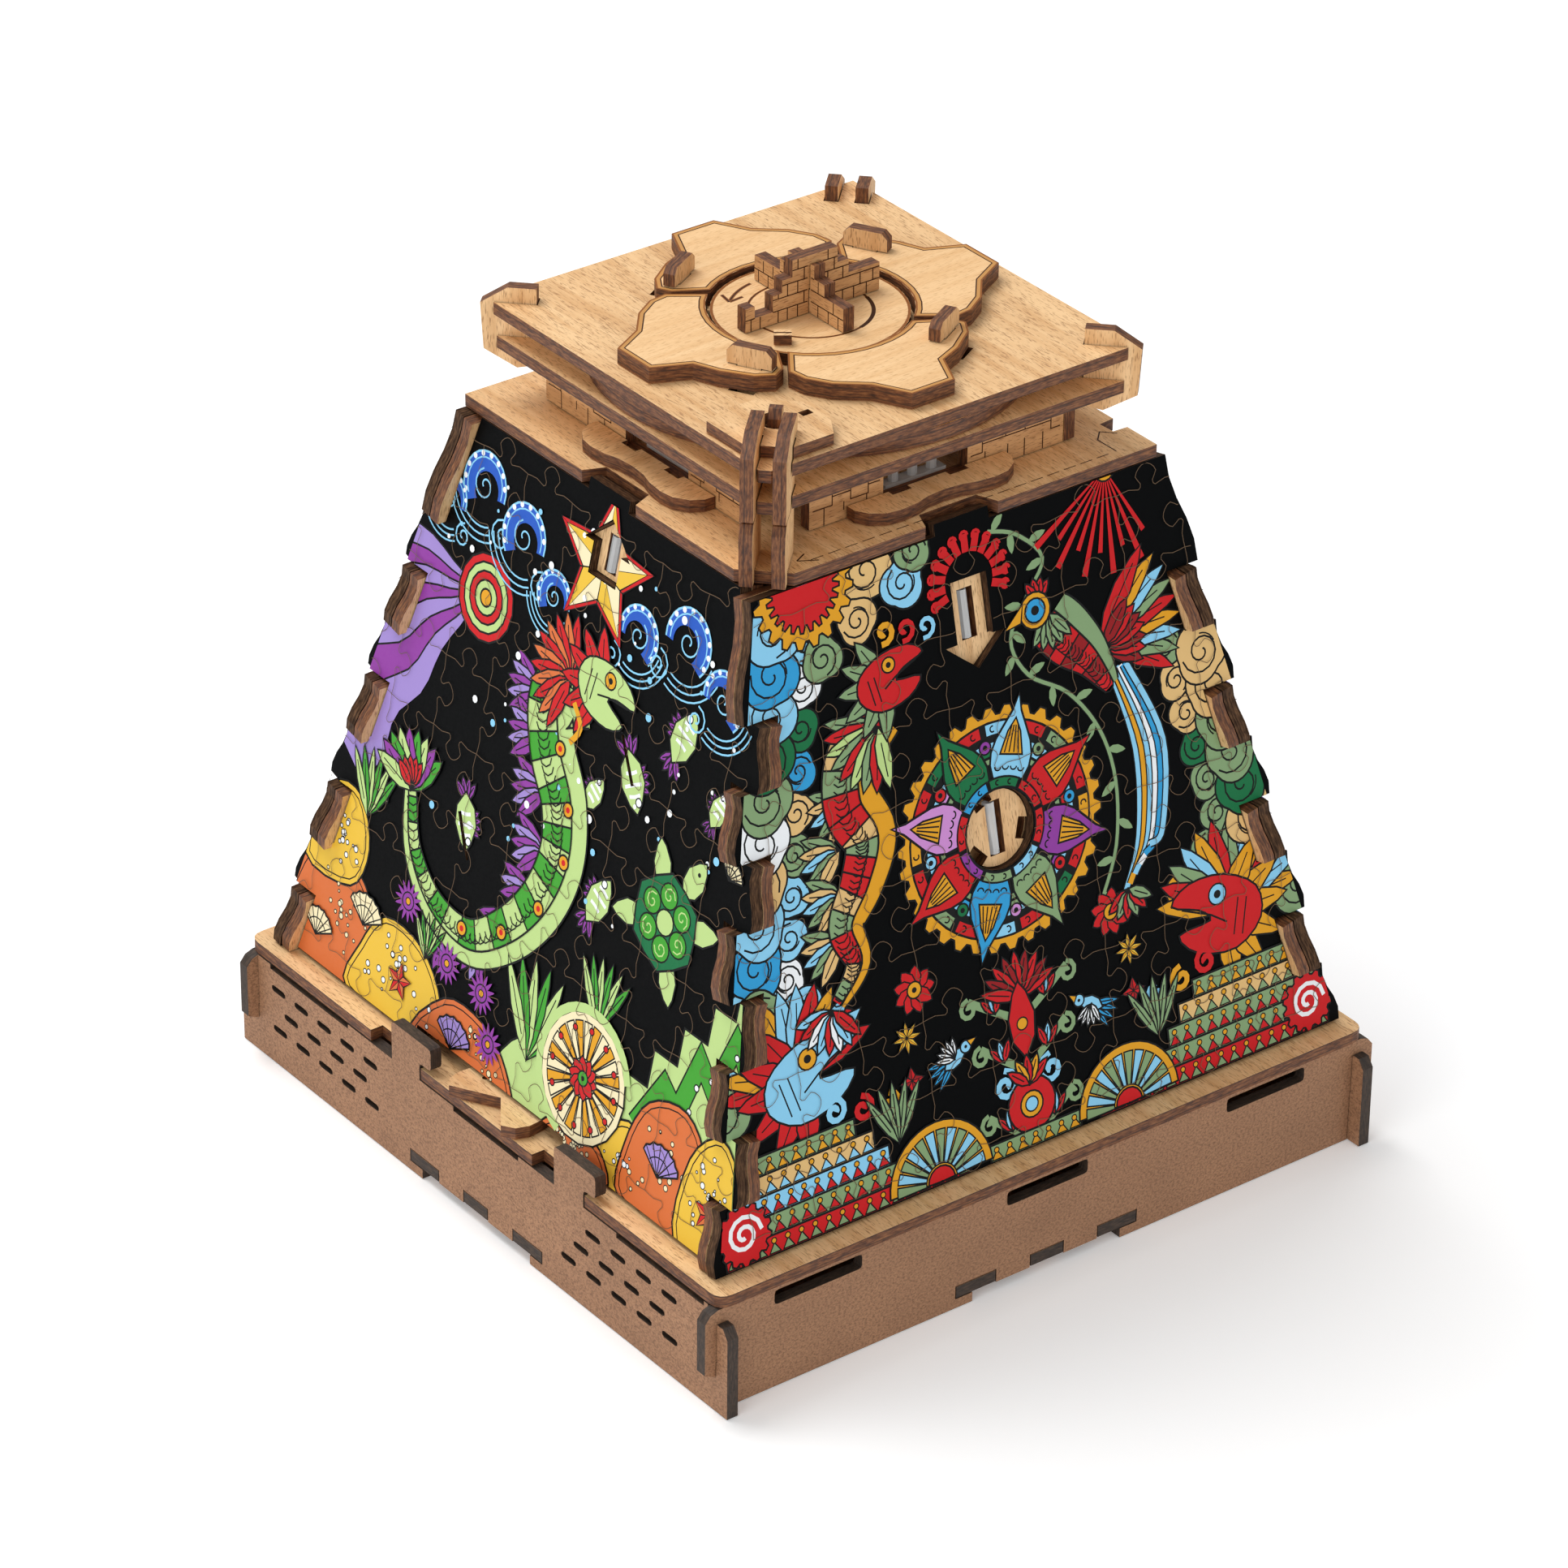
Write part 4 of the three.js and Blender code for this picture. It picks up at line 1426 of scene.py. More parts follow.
@dataclass(frozen=True)
class SlopedFace:
    """Geometry shared by the four sloped faces.

    Args:
        base_half: distance from the centre to the outer plane at its foot, in metres.
        base_z: height of the foot.
        tilt: lean from upright in radians.
        low: where print begins, in millimetres up the slope.
        high: where it ends.
        bleed: how far print runs past the corner line, in millimetres.
        pitch: height of one finger in millimetres.
        finger: depth of the recesses between the fingers in millimetres.
    """

    base_half: float = 0.094
    base_z: float = 0.0323
    tilt: float = math.atan2(35.0, 155.7)
    low: float = 1.2
    high: float = 159
    bleed: float = 1.6
    pitch: float = 16.2
    finger: float = 7.3

    def matrix(self, side: int) -> Matrix:
        """Matrix from (across, up the slope, outward) to the row frame.

        Args:
            side: 0 front, 1 right, 2 back, 3 left.

        Returns:
            The matrix.
        """
        turn = Matrix.Rotation(side * math.pi / 2, 4, "Z")
        shift = Matrix.Translation((0, -self.base_half, self.base_z))
        return turn @ shift @ Matrix.Rotation(math.pi / 2 - self.tilt, 4, "X")

    def normal(self, side: int) -> Direction:
        """Outward direction of a face.

        Args:
            side: 0 front, 1 right, 2 back, 3 left.

        Returns:
            The unit direction.
        """
        return tuple(self.matrix(side).to_3x3() @ Vector((0, 0, 1)))

    def uphill(self, side: int) -> Direction:
        """Direction up the slope of a face.

        Args:
            side: 0 front, 1 right, 2 back, 3 left.

        Returns:
            The unit direction.
        """
        return tuple(self.matrix(side).to_3x3() @ Vector((0, 1, 0)))

    def edge(self, v: float) -> float:
        """Distance from the middle of a face to the corner of the pyramid.

        Args:
            v: height up the slope in millimetres.

        Returns:
            The distance in millimetres.
        """
        return self.base_half / MM - v * math.sin(self.tilt)

    def window(self) -> Polygon:
        """Area that can be printed, in millimetres, out to the tips of the fingers.

        Returns:
            Its outline, anticlockwise.
        """
        foot, top = self.edge(self.low) + self.bleed, self.edge(self.high) + self.bleed
        return [(-foot, self.low), (foot, self.low), (top, self.high), (-top, self.high)]

    def recesses(self, side: int) -> list[Polygon]:
        """Areas along both edges that the neighbouring faces' fingers fill.

        Args:
            side: 0 front, 1 right, 2 back, 3 left.

        Returns:
            Their outlines, anticlockwise.
        """
        found = []
        for k in range(0 if side % 2 else 1, 9, 2):
            low = 1 + self.pitch * k
            high = self.high + 0.2 if k == 8 else 1 + self.pitch + self.pitch * k
            foot, top = self.edge(low) - self.finger, self.edge(high) - self.finger
            right = [(foot, low), (foot + 12, low), (top + 12, high), (top, high)]
            found += [right, [(-u, v) for u, v in right[::-1]]]
        return found


def arrow_holes(u: float, tip: float, way: int, length: float) -> list[Polygon]:
    """Convex outlines that together cover an arrow opening.

    Args:
        u: middle of the arrow.
        tip: height of its point.
        way: one if it points up, minus one if down.
        length: tip to tail.

    Returns:
        The head and the stem.
    """
    head = [(u - 9.0, tip - way * 7.0), (u + 9.0, tip - way * 7.0), (u, tip + way * 0.8)]
    tail = tip - way * (length + 0.5)
    stem = [(u - 5.5, tail), (u + 5.5, tail), (u + 5.5, tip - way * 6.5),
            (u - 5.5, tip - way * 6.5)]
    return [head, stem] if way > 0 else [head[::-1], stem[::-1]]


def edge_clouds(canvas: Canvas, hand: int, span: Point, inks: Inks) -> None:
    """Prints two staggered columns of clouds along a sloping edge.

    Args:
        canvas: where to print.
        hand: minus one for the left edge, one for the right.
        span: lowest and highest centre.
        inks: inks used in turn.
    """
    count = round((span[1] - span[0]) / 9.5)
    for i in range(count + 1):
        v = span[0] + (span[1] - span[0]) * i / count
        edge = SlopedFace().edge(v)
        cloud(canvas, (hand * (edge - 15), v + 4.5), 5.4, inks[(i * 3 + 1) % len(inks)], 75 * i)
        cloud(canvas, (hand * (edge - 4.5), v), 8.2, inks[(i * 2) % len(inks)], 110 * i)


def terrace(canvas: Canvas, ends: Point, heights: Point, ink: Ink, trim: Ink) -> None:
    """Prints a level band with a zigzag, a dotted line and an outline.

    Args:
        canvas: where to print.
        ends: left and right end.
        heights: lower and upper edge.
        ink: ink of the band.
        trim: ink of the zigzag.
    """
    (left, right), (low, high) = sorted(ends), heights
    canvas.fill([(left, low), (right, low), (right, high), (left, high)], ink, 0.6)
    count = max(3, round((right - left) / 4))
    step = (right - left) / count
    for i in range(count):
        u = left + step * i
        tooth = [(u + 0.4, low + 0.5), (u + step - 0.4, low + 0.5), (u + step / 2, low + 3.0)]
        canvas.fill(tooth, trim, 0.4)
        canvas.dot((u + step / 2, high - 1.5), 0.75, Ink.GOLD, 0.3)


@dataclass
class PanelArt:
    """A picture printed on one sloped face.

    Args:
        canvas: where it is printed.
        opening: whether it is drawn round an opening in the face.
    """

    canvas: Canvas
    opening: bool = True


@dataclass
class JungleArt(PanelArt):
    """Feathered serpent, sun disc and temple steps for the front face."""

    def sky(self) -> None:
        """Prints the clouds along both edges, the two suns and the halo of the arrow."""
        c = self.canvas
        c.start(PRINTED)
        cool = (Ink.SKY, Ink.WHITE, Ink.BLUE, Ink.SAGE, Ink.SKY, Ink.FOREST, Ink.TAN)
        edge_clouds(c, -1, (62, 150), cool)
        edge_clouds(c, 1, (62, 108), (Ink.TAN, Ink.SAGE, Ink.FOREST, Ink.TAN, Ink.SAGE))
        for i, (u, v, r, ink) in enumerate([(-29, 157, 8.0, Ink.TAN), (-19, 151, 6.5, Ink.SKY),
                                             (-33, 146, 6.0, Ink.TAN), (-44, 140, 6.0, Ink.SAGE),
                                             (-15, 158, 5.5, Ink.SAGE)]):
            cloud(c, (u, v), r, ink, 40 + i * 80)
        gear(c, (-47, 158), 14.5, 20, Ink.GOLD, 2.0)
        gear(c, (-47, 158), 10.5, 24, Ink.RED, 1.8)
        sunburst(c, (43, 161), (-150, -62), 10, 26)
        for k in range(13):
            root = polar((0, 146), 7.0, -20 + 18.3 * k)
            c.stroke([root, polar((0, 146), 11.5, -20 + 18.3 * k)], 2.0, Ink.RED)
            c.stroke(arc(polar((0, 146), 11.0, -20 + 18.3 * k), 1.1, 0, 300, 8), 0.7, Ink.RED)

    def serpent(self) -> None:
        """Prints the feathered serpent down the left side."""
        c = self.canvas
        c.start(0.1)
        for u, v, a in ((-42, 104, 195), (-46, 93, 190), (-47, 82, 185), (-49, 71, 195)):
            feather_fan(c, (u, v), (a - 38, a + 38), 5, (12, 3.8), (Ink.SAGE, Ink.TAN, Ink.SKY))
        spine = [(-30, 122), (-39, 114), (-41, 103), (-37, 93), (-41, 83), (-47, 74), (-45, 64),
                 (-52, 56)]
        serpent(c, spine, 17.0, (Ink.RED, Ink.RED, Ink.TAN, Ink.SAGE), Ink.GOLD, 2.2)
        feather_fan(c, (-31, 119), (160, 275), 9, (16, 4.6), (Ink.SAGE, Ink.RED, Ink.LIME))
        beast_head(c, (-27, 129), 9.5, 12, (Ink.RED, Ink.SAGE, Ink.GOLD))
        for k, ink in enumerate((Ink.GOLD, Ink.RED, Ink.SKY)):
            c.stroke(spiral((-26 + 6 * k, 141 - k), 3.0, 250, 1.1, 12), 1.5 - 0.2 * k, ink)
        feather_fan(c, (-54, 55), (185, 310), 8, (11, 3.6), (Ink.SKY, Ink.RED, Ink.WHITE))

    def garden(self) -> None:
        """Prints the vine and the long-tailed bird on the right side."""
        c = self.canvas
        c.start(0.1)
        vine(c, [(7, 156), (15, 153), (22, 145), (16, 137), (10, 128), (14, 118), (25, 110),
                 (33, 98), (36, 84), (34, 68), (28, 56)], Ink.SAGE, 5.4)
        tails = (Ink.SKY, Ink.GOLD, Ink.SKY, Ink.WHITE, Ink.BLUE, Ink.SKY)
        for k, ink in enumerate(tails):
            plume = smooth([(38 + k, 112), (43 + 1.7 * k, 90), (41 + 1.5 * k, 68),
                            (35 + 1.8 * k, 55 + 2 * k)], steps=6)
            c.stroke(plume, 2.3)
            c.stroke(plume, 1.5, ink)
        feather_fan(c, (36, 120), (-32, 52), 9, (25, 5.6), (Ink.RED, Ink.SAGE, Ink.SKY, Ink.GOLD))
        feather_fan(c, (37, 118), (-30, 50), 7, (13, 4.4), (Ink.DEEP_RED, Ink.RED))
        serpent(c, [(22, 130), (27, 124), (33, 117), (38, 108)], 16.0, (Ink.RED, Ink.DEEP_RED),
                Ink.SAGE, 1.6)
        feather_fan(c, (22, 131), (230, 310), 5, (9, 3.2), (Ink.SAGE,))
        feather_fan(c, (19, 135), (50, 120), 4, (6, 2.6), (Ink.RED,))
        c.dot((18, 133), 4.6, Ink.GOLD, 0.55)
        c.dot((18, 133), 3.0, Ink.BLUE, 0.5)
        c.dot((18, 133), 1.2, Ink.BLACK)
        c.fill([(14.5, 135.5), (13.5, 131.0), (8.5, 130.5)], Ink.GOLD, 0.5)
        feather_fan(c, (36, 56), (215, 330), 6, (8, 3.2), (Ink.RED, Ink.SAGE))

    def ground(self, side: int, ink: Ink, inks: Inks) -> None:
        """Prints the terraces, the crested head and the spirals of one side.

        Args:
            side: minus one for the left, one for the right.
            ink: ink of the widest terrace.
            inks: head, crest and eye inks.
        """
        c = self.canvas
        c.start(0.05)
        for i, (u, v, r, tone) in enumerate([(86, 53, 8, inks[0]), (74, 60, 7, Ink.SAGE),
                                             (62, 58, 6, ink), (88, 40, 8, Ink.SAGE),
                                             (52, 50, 5, inks[1])]):
            cloud(c, (side * u, v), r, tone, 50 * i)
        feather_fan(c, (side * 66, 42), (90 - side * 88, 90 + side * 75), 13, (23, 6.4),
                    (inks[1], inks[2], ink, inks[0]))
        beast_head(c, (side * 64, 40), 13.5, 90 + side * 75, inks)
        for k in range(3):
            curl = spiral((side * (57 - 8 * k), 30 - 2 * k), 3.4, 90, side * 1.3, 14)
            c.stroke(curl, 1.5, inks[k])
        rows = [(93, 20, 1.2, 6.2, Ink.RED, Ink.SAGE), (91, 38, 6.2, 11.4, Ink.SAGE, Ink.RED),
                (90, 43, 11.4, 16.6, ink, Ink.RED), (88, 47, 16.6, 21.8, Ink.TAN, ink),
                (87, 52, 21.8, 26.6, Ink.SAGE, Ink.GOLD)]
        for outer, inner, low, high, band, trim in rows:
            terrace(c, (side * outer, side * inner), (low, high), band, trim)
        c.start(0.24)
        gear(c, (side * 87, 9), 8.0, 14, Ink.RED, 1.1)
        c.stroke(spiral((side * 87, 9), 5.2, 0, 1.8), 1.1, Ink.WHITE)
        spoked_wheel(c, (side * 29, 2), 15.5, (2, 178), (Ink.SKY, Ink.SAGE, Ink.RED, Ink.GOLD))
        bird(c, (side * 21, 31), 3.8, 90 + side * 60, (Ink.SKY, Ink.WHITE, Ink.BLUE))
        star(c, (side * 34, 41), 4.2, 8, (Ink.GOLD, Ink.YELLOW))
        star(c, (side * 34, 30), 3.6, 4, (Ink.RED, Ink.DEEP_RED))
        feather_fan(c, (side * 40, 16), (60, 120), 5, (16, 2.6), (Ink.SAGE,))

    def blossom(self) -> None:
        """Prints the plant that grows up the middle."""
        c = self.canvas
        c.start(0.05)
        for side in (-1, 1):
            for v, reach, ink in ((40, 15, Ink.SAGE), (27, 13, Ink.SAGE), (9, 13, Ink.SAGE)):
                branch = smooth([(0, v - 6), (side * reach * 0.45, v - 2),
                                 (side * reach, v + 3.5)], steps=5)
                c.stroke(branch, 2.0, ink)
                c.stroke(spiral((side * reach, v + 1.5), 2.8, 90, -side * 1.2, 12), 1.2, ink)
                feather_fan(c, (side * reach * 0.5, v - 2), (90 - side * 40, 90 + side * 20), 3,
                            (6, 2.2), (Ink.RED, Ink.SKY))
            c.stroke(spiral((side * 7, 19), 4.0, 90, side * 1.4, 14), 1.5, Ink.SKY)
            flower(c, (side * 30, 52), 6.2, 9, (Ink.RED, Ink.GOLD))
        feather_fan(c, (0, 40), (20, 160), 9, (12, 3.4), (Ink.RED, Ink.DEEP_RED))
        c.fill(leaf((0, 24), 90, 20, 8), Ink.RED, 0.55)
        c.dot((0, 33), 1.6, Ink.GOLD, 0.4)
        c.fill(ring((0, 12), 7.2), Ink.RED, 0.6)
        c.dot((0, 12), 3.4, Ink.GOLD, 0.5)
        c.dot((0, 12), 1.9, Ink.SKY, 0.4)
        feather_fan(c, (0, 17), (40, 140), 5, (8, 2.8), (Ink.RED, Ink.GOLD))
        terrace(c, (-14, 14), (1.2, 5.6), Ink.SAGE, Ink.GOLD)

    def draw(self) -> None:
        """Prints everything, then cuts the jigsaw lines."""
        self.sky()
        self.serpent()
        self.garden()
        self.ground(-1, Ink.SKY, (Ink.SKY, Ink.RED, Ink.GOLD))
        self.ground(1, Ink.SAGE, (Ink.RED, Ink.GOLD, Ink.SKY))
        self.blossom()
        self.canvas.start(0.1)
        mandala(self.canvas, (0.5, 83))
        if not self.opening:
            star(self.canvas, (0.5, 83), 9.6, 8, (Ink.GOLD, Ink.RED))
        self.canvas.start(0.4)
        jigsaw(self.canvas, JIGSAW_ROWS, 94, 18.6, 11)


@dataclass
class SeaArt(PanelArt):
    """Sea serpent, fish, turtle and reef for the left face."""

    def water(self) -> None:
        """Prints rays, wave crests, bubbles and the star."""
        c = self.canvas
        c.start(PRINTED)

        def ray_edge(angle: float) -> Polygon:
            """A wavy line from the ball to the panel's edge.

            Args:
                angle: its direction in degrees.

            Returns:
                Points along it.
            """
            return [polar((-40, 119), r, angle + 2.0 * math.sin(r / 4.5)) for r in range(8, 78, 5)]

        angles = [168, 179, 189, 200, 210, 221, 232, 243]
        for k, (low, high) in enumerate(zip(angles, angles[1:])):
            band = ray_edge(low) + ray_edge(high)[::-1]
            for i in range(13):
                strip = [band[i], band[i + 1], band[-2 - i], band[-1 - i]]
                c.fill(strip, Ink.PURPLE if k % 2 else Ink.LILAC)
            c.stroke(ray_edge(low), 0.5)
        for k, ink in enumerate((Ink.RED, Ink.LIME, Ink.RED, Ink.LIME, Ink.GOLD)):
            c.dot((-38, 118), 11.0 - 2.2 * k, ink, 0.55)
        c.start(0.1)
        for u, v, r, hand in ((-46, 144, 8.5, 1), (-28, 138, 8.5, 1), (20, 133, 7.5, -1),
                              (38, 139, 8.5, -1), (54, 131, 7.5, -1), (-58, 136, 6.5, 1),
                              (-13, 129, 6.5, 1)):
            wave_crest(c, (u, v), r, hand)
            for k in (1.2, 1.42, 1.64):
                c.stroke(arc((u, v), r * k, 195 if hand > 0 else 245, 295 if hand > 0 else 345, 10),
                         0.45, Ink.SKY)
            c.stroke(spiral((u + hand * r * 1.1, v - r * 1.1), r * 0.5, 90, hand * 1.5, 16), 0.5,
                     Ink.SKY)
        star(c, (3, 143), 19.5, 5, (Ink.RED, Ink.RED))
        star(c, (3, 143), 17.0, 5, (Ink.YELLOW, Ink.CREAM))
        pick = random.Random(5)
        for _ in range(70):
            spot = (pick.uniform(-60, 66), pick.uniform(60, 150))
            c.dot(spot, pick.uniform(0.4, 1.1), pick.choice((Ink.SKY, Ink.WHITE)))

    def serpent(self) -> None:
        """Prints the sea serpent that winds down the middle."""
        c = self.canvas
        c.start(0.12)
        for u, v, a in ((-11, 104, 180), (-8, 94, 185), (-3, 82, 195), (1, 68, 190), (0, 56, 200),
                        (-6, 46, 225), (-16, 38, 245), (-30, 34, 260)):
            feather_fan(c, (u, v), (a - 34, a + 34), 5, (13.5, 4.2), (Ink.PURPLE, Ink.LILAC))
        spine = [(6, 112), (-6, 106), (-3, 94), (5, 83), (8, 70), (4, 56), (-6, 43), (-20, 34),
                 (-36, 36), (-48, 46), (-53, 60)]
        serpent(c, spine, 19.0, (Ink.GREEN, Ink.LIME), Ink.LIME, 2.0)
        for u, v in ((0, 95), (7, 82), (9, 69), (3, 54), (-9, 42), (-24, 36)):
            c.dot((u, v), 1.9, Ink.GOLD, 0.5)
            c.dot((u, v), 0.8, Ink.RED)
        feather_fan(c, (-53, 60), (50, 165), 9, (16, 5.2), (Ink.GREEN, Ink.PURPLE, Ink.LIME))
        feather_fan(c, (-53, 61), (70, 145), 5, (8, 3.4), (Ink.RED,))
        feather_fan(c, (-1, 113), (95, 250), 11, (16, 4.4), (Ink.RED, Ink.ORANGE))
        beast_head(c, (11, 115), 10.5, -8, (Ink.LIME, Ink.RED, Ink.GOLD))
        c.stroke(smooth([(2, 108), (6, 103), (3, 98)]), 1.6, Ink.GOLD)

    def shoal(self) -> None:
        """Prints the fish, the turtle and a few shells."""
        c = self.canvas
        c.start(0.12)
        for u, v, size, a in ((43, 117, 8.0, 70), (28, 99, 8.0, -60), (15, 90, 5.6, 60),
                              (24, 66, 7.5, 65), (-30, 62, 7.5, -75), (60, 106, 5.5, 70)):
            fish(c, (u, v), size, a, (Ink.LIME, Ink.WHITE, Ink.PURPLE))
        turtle(c, (49, 72), 12.0, 62)
        for u, v in ((68, 92), (74, 76), (-66, 52)):
            shell(c, (u, v), 5.0, 70, Ink.CREAM)

    def seabed(self) -> None:
        """Prints the reef, plants, shells and the half-buried wheel."""
        c = self.canvas
        c.start(0.03)
        rise = [(46, 16), (94, 16), (94, 70), (80, 70), (80, 61), (72, 61), (72, 51), (63, 51),
                (63, 41), (54, 41), (54, 31), (46, 31)]
        for left, right, low, high in ((46, 94, 16, 31), (54, 94, 31, 41), (63, 94, 41, 51),
                                       (72, 94, 51, 61), (80, 94, 61, 70)):
            c.fill([(left, low), (right, low), (right, high), (left, high)], Ink.LIME)
        c.stroke(rise, 0.6, closed=True)
        zigzag = [(52, 20), (60, 34), (66, 30), (71, 46), (77, 41), (82, 56), (88, 50)]
        c.stroke(zigzag, 6.4)
        c.stroke(zigzag, 5.4, Ink.GREEN)
        for k in range(12):
            c.dot(polar((80, 36), 5 + 1.1 * k, 40 * k), 0.9, Ink.WHITE, 0.35)
        c.fill(smooth([(-4, 1), (30, 1), (27, 14), (14, 22), (2, 18)], closed=True), Ink.LIME, 0.6)
        heaps = [
            ([(-94, 0), (-56, 0), (-56, 16), (-62, 27), (-74, 33), (-88, 30)], Ink.ORANGE),
            ([(-90, 26), (-70, 26), (-65, 38), (-72, 50), (-84, 48)], Ink.YELLOW),
            ([(-64, 0), (-26, 0), (-27, 14), (-38, 24), (-54, 25), (-62, 14)], Ink.YELLOW),
            ([(-36, 0), (4, 0), (2, 10), (-10, 17), (-26, 16)], Ink.ORANGE),
            ([(40, 0), (62, 0), (60, 14), (50, 20), (40, 12)], Ink.YELLOW),
            ([(52, 0), (80, 0), (80, 22), (70, 32), (56, 28), (50, 14)], Ink.ORANGE),
            ([(74, 0), (96, 0), (94, 22), (84, 32), (74, 22)], Ink.YELLOW),
            ([(20, 0), (46, 0), (42, 8), (30, 10), (20, 6)], Ink.ORANGE),
        ]
        for seed, (heap, ink) in enumerate(heaps):
            c.start(0.07 + 0.03 * seed)
            reef(c, heap, ink, Ink.CREAM if ink is Ink.ORANGE else Ink.WHITE, seed)
        c.start(0.31)
        for u, v, h in ((-68, 46, 18), (9, 16, 26), (32, 36, 18), (-36, 22, 12)):
            feather_fan(c, (u, v), (58, 122), 6, (h, h * 0.17), (Ink.GREEN, Ink.LIME))
        spoked_wheel(c, (31, 22), 16.5, (0, 360), (Ink.CREAM, Ink.GOLD, Ink.RED, Ink.CREAM))
        c.stroke(arc((31, 22), 17.4, 20, 250, 22), 2.4, Ink.LIME)
        for k in range(12):
            c.dot(polar((31, 22), 12.5, 30 * k), 0.9, Ink.RED, 0.35)
        flower(c, (31, 22), 5.6, 10, (Ink.RED, Ink.GREEN))
        for u, v, size, ink in ((-62, 19, 8, Ink.CREAM), (-20, 5, 8, Ink.LILAC),
                                (-80, 8, 7, Ink.CREAM), (64, 12, 8, Ink.LILAC)):
            shell(c, (u, v), size, 85, ink)
        for u, v in ((-46, 33), (-27, 25), (-12, 24), (-6, 13)):
            urchin(c, (u, v), 5.5, Ink.PURPLE)
        for u, v in ((-44, 12), (-84, 38), (84, 12)):
            star(c, (u, v), 5.0, 5, (Ink.RED, Ink.ORANGE))

    def draw(self) -> None:
        """Prints everything, then cuts the jigsaw lines."""
        self.water()
        self.shoal()
        self.serpent()
        self.seabed()
        if not self.opening:
            self.canvas.dot((3, 143), 5.0, Ink.RED, 0.5)
        self.canvas.start(0.46)
        jigsaw(self.canvas, JIGSAW_ROWS, 94, 18.2, 23)


@dataclass
class PrintedFaces:
    """The four printed faces of the lid.

    Args:
        face: geometry of a sloped face.
    """

    face: SlopedFace = SlopedFace()

    def canvas(
        self, side: int, name: str, holes: list[Polygon], **extra: bool | dict[Ink, Ink]
    ) -> Canvas:
        """Makes the canvas for one face.

        Args:
            side: 0 front, 1 right, 2 back, 3 left.
            name: name of the print.
            holes: openings in the face.
            **extra: further Canvas fields.

        Returns:
            The canvas.
        """
        return Canvas(name, "lid", self.face.matrix(side), "printed_panel",
                      self.face.window(), holes + self.face.recesses(side), **extra)

    def build(self) -> None:
        """Prints all four faces."""
        wheel = [ring((0.5, 83), 10.1, 20)]
        front = JungleArt(self.canvas(0, "print_front", wheel + arrow_holes(0, 124.5, -1, 22)))
        slits = [[(20.4, 108.2), (27.6, 97.6), (28.6, 98.2), (21.4, 108.8)],
                 [(-33.6, 63.2), (-27.6, 52.6), (-26.4, 53.2), (-32.4, 63.8)]]
        low = [(-34.2, -1), (28.2, -1), (28.2, 4.7), (-34.2, 4.7)]
        left = SeaArt(self.canvas(3, "print_left", [*slits, low, *arrow_holes(3.2, 155, 1, 14.5)]))
        night = {Ink.RED: Ink.ROYAL, Ink.TAN: Ink.LILAC, Ink.SAGE: Ink.BLUE, Ink.SKY: Ink.CREAM}
        right = JungleArt(
            self.canvas(1, "print_right", [], mirror=True, swaps=night), opening=False)
        dusk = {Ink.GREEN: Ink.ROYAL, Ink.LIME: Ink.SKY, Ink.PURPLE: Ink.RED, Ink.LILAC: Ink.ORANGE}
        back = SeaArt(self.canvas(2, "print_back", [], mirror=True, swaps=dusk), opening=False)
        for art in (front, left, right, back):
            art.draw()
            art.canvas.build()


# ---- Engraving ----------------------------------------------------------------------------


def burn(canvas: Canvas, points: Polygon, width: float, closed: bool = False) -> None:
    """Engraves a line with a toasted halo.

    Args:
        canvas: where to engrave.
        points: points along the line.
        width: width of the charred middle.
        closed: whether it joins up.
    """
    canvas.stroke(points, width * 2.4, Ink.TOAST, closed)
    canvas.stroke(points, width, Ink.BURN, closed)


def flat_canvas(name: str, body: str, node: str, turn: float = 0.0) -> Canvas:
    """Canvas on the top of a level sheet.

    Args:
        name: name of the marks.
        body: CAD body that carries them.
        node: CAD node whose top they lie on.
        turn: rotation about the vertical in degrees.

    Returns:
        The canvas.
    """
    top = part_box(node)[1].z
    place = Matrix.Rotation(math.radians(turn), 4, "Z") @ Matrix.Translation((0, 0, top))
    canvas = Canvas(name, body, place, "birch_ply")
    canvas.start(ENGRAVED)
    return canvas


def upright_matrix(turn: float, outer: float, foot: float = 0.0) -> Matrix:
    """Matrix for a canvas on an upright sheet.

    Args:
        turn: rotation about the vertical in degrees, zero facing the front.
        outer: distance of the surface from the centre, in metres.
        foot: height of the canvas's origin, in metres.

    Returns:
        The matrix from canvas metres to the row frame.
    """
    spin = Matrix.Rotation(math.radians(turn), 4, "Z")
    return spin @ Matrix.Translation((0, -outer, foot)) @ Matrix.Rotation(math.pi / 2, 4, "X")


